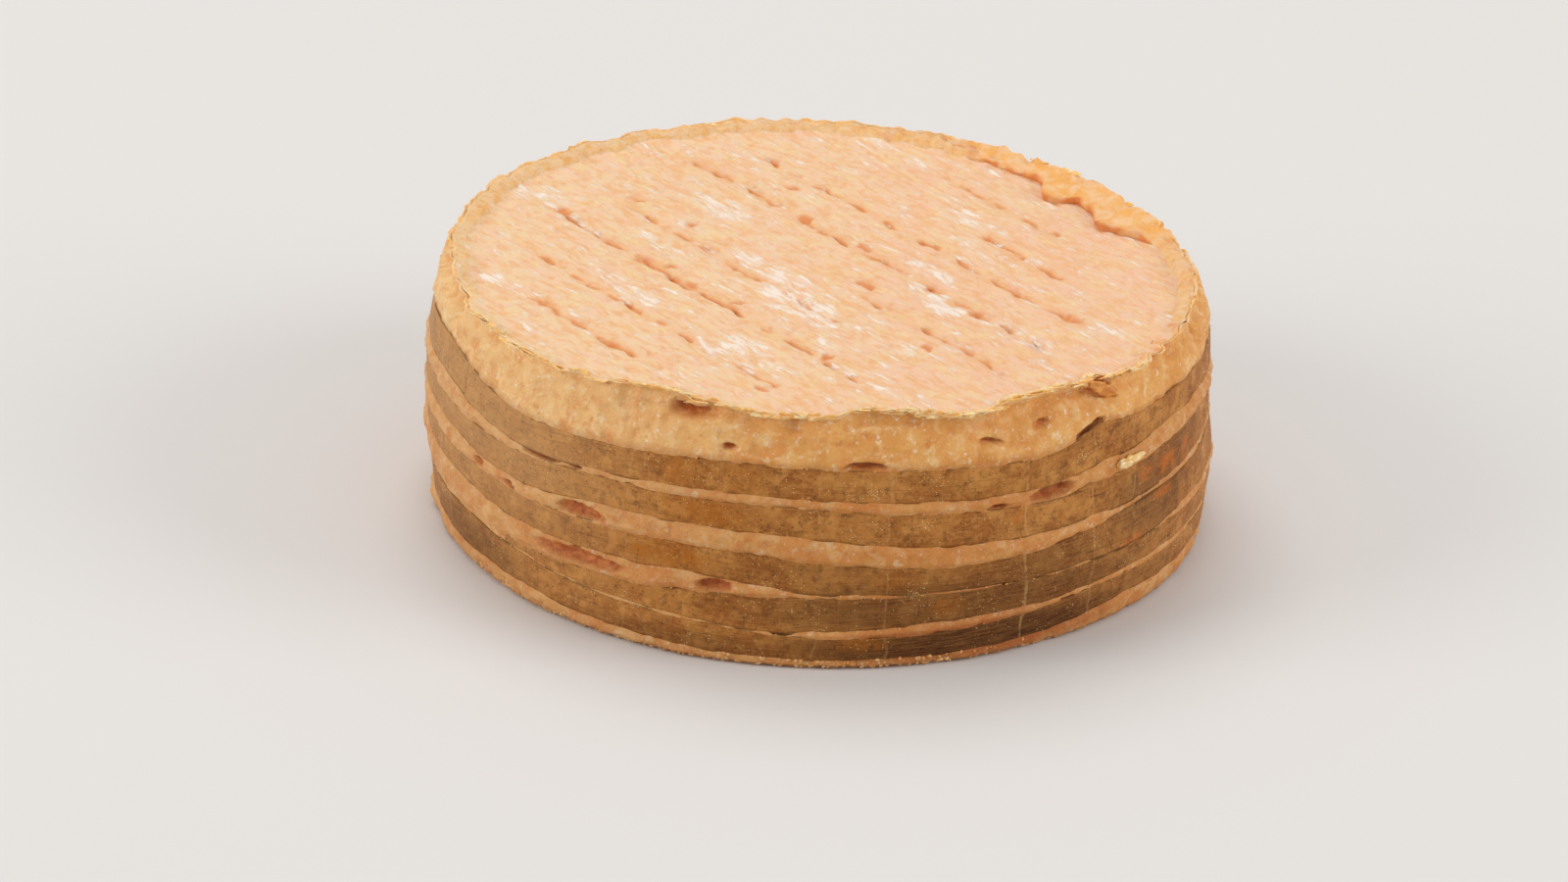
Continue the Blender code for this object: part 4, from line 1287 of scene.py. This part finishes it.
def reed_material():
    settings = bpy.context.scene.cheese_reed
    material, tree, shader, place = new_material("dried_reed")
    blotches, strokes, specks = blotches_group(), strokes_group(), specks_group()
    flat = scaled(tree, add(tree, "ShaderNodeUVMap", uv_map="strip").outputs[0], (FLAT_SCALE,) * 3)
    rim, amber, orange, dark = (mask(tree, name) for name in ("rim", "amber", "orange", "dark"))
    colour = layered(tree, settings.tan, place, from_settings(settings), REED_LAYERS)
    at = add(tree, "ShaderNodeSeparateXYZ", {0: place}).outputs
    faded = times(tree, span(tree, at[0], -18.0, -52.0), span(tree, at[2], 4.0, 26.0, 0.15, 0.5))
    colour = mixed(tree, faded, colour, settings.faded)
    # Painted shade: the strips turn towards the dark brown in the shaded patches.
    colour = laid_on(tree, colour, settings.deep, dark, 0.9)
    fibre = use(tree, strokes, flat, length=6.0, width=0.17, low=0.42, high=0.62)
    colour = laid_on(tree, colour, settings.fibre, fibre["Mask"], 0.24)
    thread = use(tree, strokes, shifted(tree, flat, 19), length=7.0, width=0.3, low=0.56, high=0.68)["Mask"]
    colour = laid_on(tree, colour, settings.deep, thread, 0.25)
    patchy = use(tree, blotches, shifted(tree, place, 29), size=2.2, low=0.3, high=0.7)["Mask"]
    stained = times(tree, amber, plus(tree, times(tree, patchy, 0.7), 0.2))
    colour = mixed(tree, stained, colour, settings.amber)
    spots = use(tree, blotches, shifted(tree, place, 83), size=2.2, low=0.4, high=0.6)["Mask"]
    spotted = times(tree, orange, spots)
    colour = laid_on(tree, colour, settings.orange, spotted, 0.85)
    dots = use(tree, specks, place, size=0.5, share=0.2)["Mask"]
    colour = laid_on(tree, colour, settings.deep, dots, 0.45)
    glints = use(tree, specks, shifted(tree, place, 9), size=0.4, share=0.25)["Mask"]
    crowd = use(tree, blotches, shifted(tree, place, 37), size=4.0, low=0.48, high=0.66)["Mask"]
    glints = times(tree, glints, plus(tree, times(tree, crowd, 0.6), 0.1))
    colour = mixed(tree, glints, colour, settings.glint)
    along = add(tree, "ShaderNodeSeparateXYZ", {0: flat}).outputs[0]
    sway = times(tree, noise_of(tree, place, 0.25), CREASE_SWAY)
    swayed = plus(tree, plus(tree, along, sway), 4 * TURN_LENGTH)
    around = maths(tree, "MODULO", swayed, TURN_LENGTH)
    crease = 0.0
    for angle, strength in CREASES:
        at = (math.radians(angle) * NOMINAL_RADIUS + CREASE_SWAY / 2) % TURN_LENGTH
        away = maths(tree, "ABSOLUTE", maths(tree, "SUBTRACT", around, at))
        crease = maths(tree, "MAXIMUM", span(tree, away, 0.3, 0.05, 0.0, strength), crease)
    shown = use(tree, blotches, shifted(tree, place, 61), size=2.0, low=0.3, high=0.6)["Mask"]
    crease = times(tree, crease, shown)
    colour = mixed(tree, crease, colour, settings.glint)
    # Painted highlight: a broken pale line along both edges of each strip.
    broken = use(tree, strokes, shifted(tree, flat, 7), length=5.0, width=0.8, low=0.4, high=0.6)["Mask"]
    rim_highlight = times(tree, span(tree, rim, 0.3, 0.9), times(tree, broken, 0.5))
    colour = mixed(tree, rim_highlight, colour, settings.rim)
    grain = use(tree, grain_group(), place, size=0.9)
    tree.links.new(colour, shader.inputs["Base Color"])
    rough = span(tree, grain["Mask"], 0.0, 1.0, 0.46, 0.66)
    tree.links.new(maths(tree, "SUBTRACT", rough, times(tree, glints, 0.2)), shader.inputs["Roughness"])
    relief = plus(tree, times(tree, fibre["Height"], 0.5), grain["Height"])
    relief = plus(tree, relief, times(tree, plus(tree, crease, glints), 0.5))
    tree.links.new(bump(tree, relief, 0.16), shader.inputs["Normal"])
    shader.inputs["Specular IOR Level"].default_value = 0.15
    return material


def skin_material(name, thin, thick, rough):
    """Thin dried skin: pale crust over a warmer ground."""
    settings = bpy.context.scene.cheese_rind
    material, tree, shader, place = new_material(name)
    patchy = use(tree, blotches_group(), place, size=1.6, low=0.42, high=0.62)["Mask"]
    colour = mixed(tree, patchy, thick, thin)
    brown = use(tree, specks_group(), place, size=0.45, share=0.25)["Mask"]
    colour = laid_on(tree, colour, settings.toast, brown, 0.25)
    grain = use(tree, grain_group(), place, size=0.5)
    tree.links.new(colour, shader.inputs["Base Color"])
    tree.links.new(bump(tree, grain["Height"], 0.12), shader.inputs["Normal"])
    shader.inputs["Roughness"].default_value = rough
    return material


def crumb_material():
    settings = bpy.context.scene.cheese_rind
    material, tree, shader, place = new_material("rind_crumb")
    colour = side_colour(tree, place, settings)
    whitish = use(tree, blotches_group(), place, size=1.5, low=0.45, high=0.6)["Mask"]
    tree.links.new(mixed(tree, whitish, colour, settings.foot), shader.inputs["Base Color"])
    grain = use(tree, grain_group(), place, size=0.3)
    tree.links.new(bump(tree, grain["Height"], 0.08), shader.inputs["Normal"])
    shader.inputs["Roughness"].default_value = 0.6
    return material


def small_material(name, first, second, size, rough):
    """A small shape's finish: two shades in blotches, with fine relief."""
    material, tree, shader, place = new_material(name)
    patchy = use(tree, blotches_group(), place, size=size, low=0.4, high=0.6)["Mask"]
    tree.links.new(mixed(tree, patchy, first, second), shader.inputs["Base Color"])
    grain = use(tree, grain_group(), place, size=size / 6)
    tree.links.new(bump(tree, grain["Height"], 0.02), shader.inputs["Normal"])
    shader.inputs["Roughness"].default_value = rough
    return material


def add_piece(name, bm, material, node=None):
    """A finished mesh as a piece that rides on the cheese, in place of its solid if it has one."""
    mesh = bpy.data.meshes.new(name)
    bm.to_mesh(mesh)
    bm.free()
    mesh.materials.append(material)
    mesh.shade_smooth()
    piece = bpy.data.objects.new(name, mesh)
    bpy.context.scene.collection.objects.link(piece)
    if node:
        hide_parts(node)
    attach(piece, "root")


def colour_setting(name, description, red, green, blue):
    return FloatVectorProperty(
        name=name, description=description, default=shade(red, green, blue), subtype="COLOR", size=3,
        min=0, max=1,
    )


def power_setting(name, description, power):
    return FloatProperty(name=name, description=description, default=power, unit="POWER")


class RindSettings(PropertyGroup):
    """The wheel's relief and colours."""

    # The tint of the painted shade, multiplied into the side below the shoulder, at the foot and in the
    # shaded patches.
    damp: colour_setting("Damp", "Tint of the damper rind between the strips", 192, 142, 86)
    side_lump: FloatProperty(
        name="Side lumps", description="Height of the broad lumps of the side", default=0.22 * MM,
        unit="LENGTH",
    )
    peach: colour_setting("Peach", "Main colour of the top", 243, 205, 165)
    pink: colour_setting("Pink", "Pinker parts of the top", 243, 196, 160)
    rose: colour_setting("Rose", "Rosy strokes of the top", 246, 196, 168)
    straw: colour_setting("Straw", "Yellower parts of the top", 243, 209, 154)
    warm: colour_setting("Warm", "Warm strokes along the furrows", 239, 172, 110)
    pit: colour_setting("Pit", "Orange pits of the top", 226, 132, 62)
    bloom: colour_setting("Bloom", "White bloom on the top", 252, 236, 222)
    butter: colour_setting("Butter", "Paler yellow of the side", 247, 210, 152)
    golden: colour_setting("Golden", "Deeper yellow of the front", 232, 164, 76)
    cream: colour_setting("Cream", "Lighter rind of the side", 240, 186, 112)
    ochre: colour_setting("Ochre", "Darker rind of the side", 222, 150, 76)
    orange: colour_setting("Orange", "Orange blotches of the side", 222, 138, 62)
    pale: colour_setting("Pale", "Pale spots of the rind", 246, 218, 172)
    foot: colour_setting("Foot", "Paler streaks of the foot", 226, 172, 116)
    # The two tones of the painted shade inside the hollows.
    hollow: colour_setting("Hollow", "Inside of the hollows", 190, 100, 44)
    hollow_light: colour_setting("Hollow light", "Lighter inside of the hollows", 226, 146, 76)
    amber: colour_setting("Amber", "Translucent skin of the lip", 244, 174, 84)
    dry: colour_setting("Dry", "Dry crust on the lip's crest", 255, 222, 172)
    toast: colour_setting("Toast", "Brown specks of the dry crust", 206, 140, 72)
    scale: colour_setting("Scale", "Pale part of the dry scales", 255, 228, 172)
    scale_ground: colour_setting("Scale ground", "Warmer part of the dry scales", 252, 192, 100)
    curl: colour_setting("Curl", "Pale part of the dried curl", 255, 234, 186)
    curl_ground: colour_setting("Curl ground", "Warmer part of the dried curl", 252, 196, 104)
    crystal: colour_setting("Crystal", "Darker crystals", 250, 200, 116)
    crystal_light: colour_setting("Crystal light", "Lighter crystals", 255, 236, 190)


class ReedSettings(PropertyGroup):
    """The strips' size and colours."""

    thickness: FloatProperty(
        name="Thickness", description="Thickness of a strip", default=0.16 * MM, unit="LENGTH",
    )
    stand: FloatProperty(
        name="Stand", description="How far a strip's face stands off the rind's line", default=0.02 * MM,
        unit="LENGTH",
    )
    tan: colour_setting("Tan", "Lighter reed", 184, 122, 58)
    brown: colour_setting("Brown", "Darker reed", 158, 94, 39)
    # The dark brown of the threads and specks, and also of the painted shade on the strips.
    deep: colour_setting("Deep", "Dark threads and damp parts", 62, 24, 3)
    through: colour_setting("Through", "Where the rind shows through the reed", 210, 146, 76)
    faded: colour_setting("Faded", "Paler reed at the left", 204, 162, 112)
    fibre: colour_setting("Fibre", "Light fibres", 202, 142, 74)
    amber: colour_setting("Amber", "Amber stains", 178, 104, 28)
    orange: colour_setting("Orange", "Orange stains", 198, 106, 32)
    glint: colour_setting("Glint", "Light specks and creases", 226, 182, 116)
    # The colour of the painted highlight along a strip's edges.
    rim: colour_setting("Rim", "Thin light edge of a strip", 214, 164, 98)


class DetailSettings(PropertyGroup):
    """How much small detail lies on the cheese."""

    flakes: IntProperty(name="Flakes", description="Dry scales on the lip", default=150, min=0)
    crumbs: IntProperty(name="Crumbs", description="Crumbs of rind on the wheel", default=2000, min=0)
    crystals: IntProperty(name="Crystals", description="Small crystals on the strips", default=3000, min=0)
    hairs: IntProperty(name="Hairs", description="Fine fluff on the side", default=1500, min=0)


class StageSettings(PropertyGroup):
    """Light, floor and camera."""

    left: power_setting("Left light", "Power of the light at the left", 10.6)
    right: power_setting("Right light", "Power of the light at the right", 10.2)
    above: power_setting("Top light", "Power of the light above", 8.5)
    sky: FloatProperty(name="Surroundings", description="Strength of the light all round", default=0.5)
    floor: colour_setting("Floor", "Pale floor", 218, 215, 212)
    lens: FloatProperty(
        name="Lens", description="Focal length of the camera", default=175.57, subtype="DISTANCE_CAMERA",
    )
    distance: FloatProperty(
        name="Camera distance", description="From the camera to what it looks at", default=1.174,
        unit="LENGTH",
    )
    elevation: FloatProperty(
        name="Camera height angle", description="Angle of the view above level", default=math.radians(24.14),
        subtype="ANGLE",
    )
    roll: FloatProperty(
        name="Camera roll", description="Turn of the camera about its view", default=math.radians(2.54),
        subtype="ANGLE",
    )
    target: FloatVectorProperty(
        name="Camera target", description="Point at the middle of the view",
        default=(-0.0052, 0.0004, 0.0094),
        subtype="XYZ", unit="LENGTH",
    )


class CHEESE_OT_add_wheel(Operator):
    """Adds the wheel and its top skin"""

    bl_idname = "cheese.add_wheel"
    bl_label = "Add the wheel"

    def execute(self, context):
        material = rind_material()
        add_piece("washed_rind_wheel", make_wheel(), material, "cheese_wheel")
        add_piece("furrowed_top_skin", make_top_skin(), material)
        return {"FINISHED"}


class CHEESE_OT_add_strips(Operator):
    """Adds the five reed strips"""

    bl_idname = "cheese.add_strips"
    bl_label = "Add the reed strips"

    def execute(self, context):
        material = reed_material()
        for name in STRIPS:
            add_piece(name.replace("band", "strip"), make_strip(name), material, name)
        return {"FINISHED"}


class CHEESE_OT_add_dry_skin(Operator):
    """Adds the dry scales on the lip, the hanging flap and the dried curl"""

    bl_idname = "cheese.add_dry_skin"
    bl_label = "Add the dry skin"

    def execute(self, context):
        colours = context.scene.cheese_rind
        dry = skin_material("dry_skin", colours.scale, colours.scale_ground, 0.6)
        add_piece("lip_scales", make_lip_flakes(context.scene.cheese_detail.flakes), dry)
        flap = skin_material("flap_skin", colours.amber, colours.orange, 0.45)
        add_piece("hanging_flap", make_hanging_skin(), flap)
        curl = skin_material("curl_skin", colours.curl, colours.curl_ground, 0.25)
        add_piece("dried_curl", make_dried_curl(), curl)
        return {"FINISHED"}


class CHEESE_OT_add_crumbs(Operator):
    """Adds the crumbs, crystals and fluff"""

    bl_idname = "cheese.add_crumbs"
    bl_label = "Add crumbs, crystals and fluff"

    def execute(self, context):
        detail = context.scene.cheese_detail
        colours = context.scene.cheese_rind
        add_piece("rind_crumbs", make_crumbs(detail.crumbs), crumb_material())
        crystal = small_material("crystal", colours.crystal, colours.crystal_light, 3.0, 0.3)
        add_piece("rind_crystals", make_crystals(detail.crystals), crystal)
        fluff = small_material("fluff", colours.pale, colours.cream, 4.0, 0.7)
        add_piece("rind_fluff", make_hairs(detail.hairs), fluff)
        return {"FINISHED"}


class CHEESE_OT_add_stage(Operator):
    """Adds the floor, the lights and the camera"""

    bl_idname = "cheese.add_stage"
    bl_label = "Add the stage"

    def execute(self, context):
        settings = context.scene.cheese_stage
        add_floor(settings)
        target = Vector(settings.target)
        add_light("left_light", Vector((-1.4, -0.5, 0.75)), target, 1.0, settings.left)
        add_light("right_light", Vector((1.4, -0.3, 0.75)), target, 1.0, settings.right)
        add_light("top_light", Vector((-0.2, 0.6, 1.4)), target, 1.0, settings.above)
        add_surroundings(settings)
        add_camera(settings, target)
        context.scene.view_settings.view_transform = "Standard"
        return {"FINISHED"}


def add_floor(settings):
    bm = bmesh.new()
    bmesh.ops.create_circle(bm, cap_ends=True, segments=96, radius=6.0)
    mesh = bpy.data.meshes.new("floor")
    bm.to_mesh(mesh)
    bm.free()
    material, tree, shader, place = new_material("pale_floor")
    faint = noise_of(tree, place, 0.004)
    brighter = [value * 1.01 for value in settings.floor]
    tree.links.new(mixed(tree, faint, settings.floor, brighter), shader.inputs["Base Color"])
    shader.inputs["Roughness"].default_value = 0.9
    mesh.materials.append(material)
    floor = bpy.data.objects.new("floor", mesh)
    bpy.context.scene.collection.objects.link(floor)


def add_light(name, at, target, size, power):
    light = bpy.data.lights.new(name, "AREA")
    light.shape = "DISK"
    light.size = size
    light.energy = power
    made = bpy.data.objects.new(name, light)
    made.location = at
    made.rotation_euler = (target - at).to_track_quat("-Z", "Y").to_euler()
    bpy.context.scene.collection.objects.link(made)


def add_surroundings(settings):
    world = bpy.data.worlds.new("soft_light")
    world.use_nodes = True
    background = world.node_tree.nodes["Background"]
    background.inputs["Color"].default_value = (1.0, 0.99, 0.98, 1.0)
    background.inputs["Strength"].default_value = settings.sky
    bpy.context.scene.world = world


def add_camera(settings, target):
    camera = bpy.data.cameras.new("camera")
    camera.lens = settings.lens
    camera.sensor_width = 36
    camera.clip_start = 0.01
    camera.clip_end = 20
    made = bpy.data.objects.new("camera", camera)
    tilt, roll = settings.elevation, settings.roll
    back = Vector((0, -math.cos(tilt), math.sin(tilt)))
    right = Vector((1, 0, 0))
    up = back.cross(right)
    across = math.cos(roll) * right + math.sin(roll) * up
    upright = math.cos(roll) * up - math.sin(roll) * right
    place = Matrix((across, upright, back)).transposed().to_4x4()
    place.translation = target + back * settings.distance
    made.matrix_world = place
    bpy.context.scene.collection.objects.link(made)
    bpy.context.scene.camera = made


class CHEESE_PT_panel(Panel):
    """Lists the pieces in the sidebar"""

    bl_idname = "CHEESE_PT_panel"
    bl_label = "Washed Rind Cheese"
    bl_space_type = "VIEW_3D"
    bl_region_type = "UI"
    bl_category = "Cheese"

    def draw(self, context):
        column = self.layout.column()
        for operator in OPERATORS:
            column.operator(operator.bl_idname)
        for group, _ in SETTINGS:
            settings = getattr(context.scene, group)
            for name in settings.__annotations__:
                column.prop(settings, name)


OPERATORS = (
    CHEESE_OT_add_wheel, CHEESE_OT_add_strips, CHEESE_OT_add_dry_skin, CHEESE_OT_add_crumbs,
    CHEESE_OT_add_stage,
)
SETTINGS = (
    ("cheese_rind", RindSettings), ("cheese_reed", ReedSettings), ("cheese_detail", DetailSettings),
    ("cheese_stage", StageSettings),
)


def register():
    for name, group in SETTINGS:
        bpy.utils.register_class(group)
        setattr(bpy.types.Scene, name, PointerProperty(type=group))
    for cls in (*OPERATORS, CHEESE_PT_panel):
        bpy.utils.register_class(cls)


def unregister():
    for cls in (CHEESE_PT_panel, *reversed(OPERATORS)):
        bpy.utils.unregister_class(cls)
    for name, group in reversed(SETTINGS):
        delattr(bpy.types.Scene, name)
        bpy.utils.unregister_class(group)


def main():
    register()
    bpy.ops.cheese.add_wheel()
    bpy.ops.cheese.add_strips()
    bpy.ops.cheese.add_dry_skin()
    bpy.ops.cheese.add_crumbs()
    bpy.ops.cheese.add_stage()


if __name__ == "__main__":
    main()
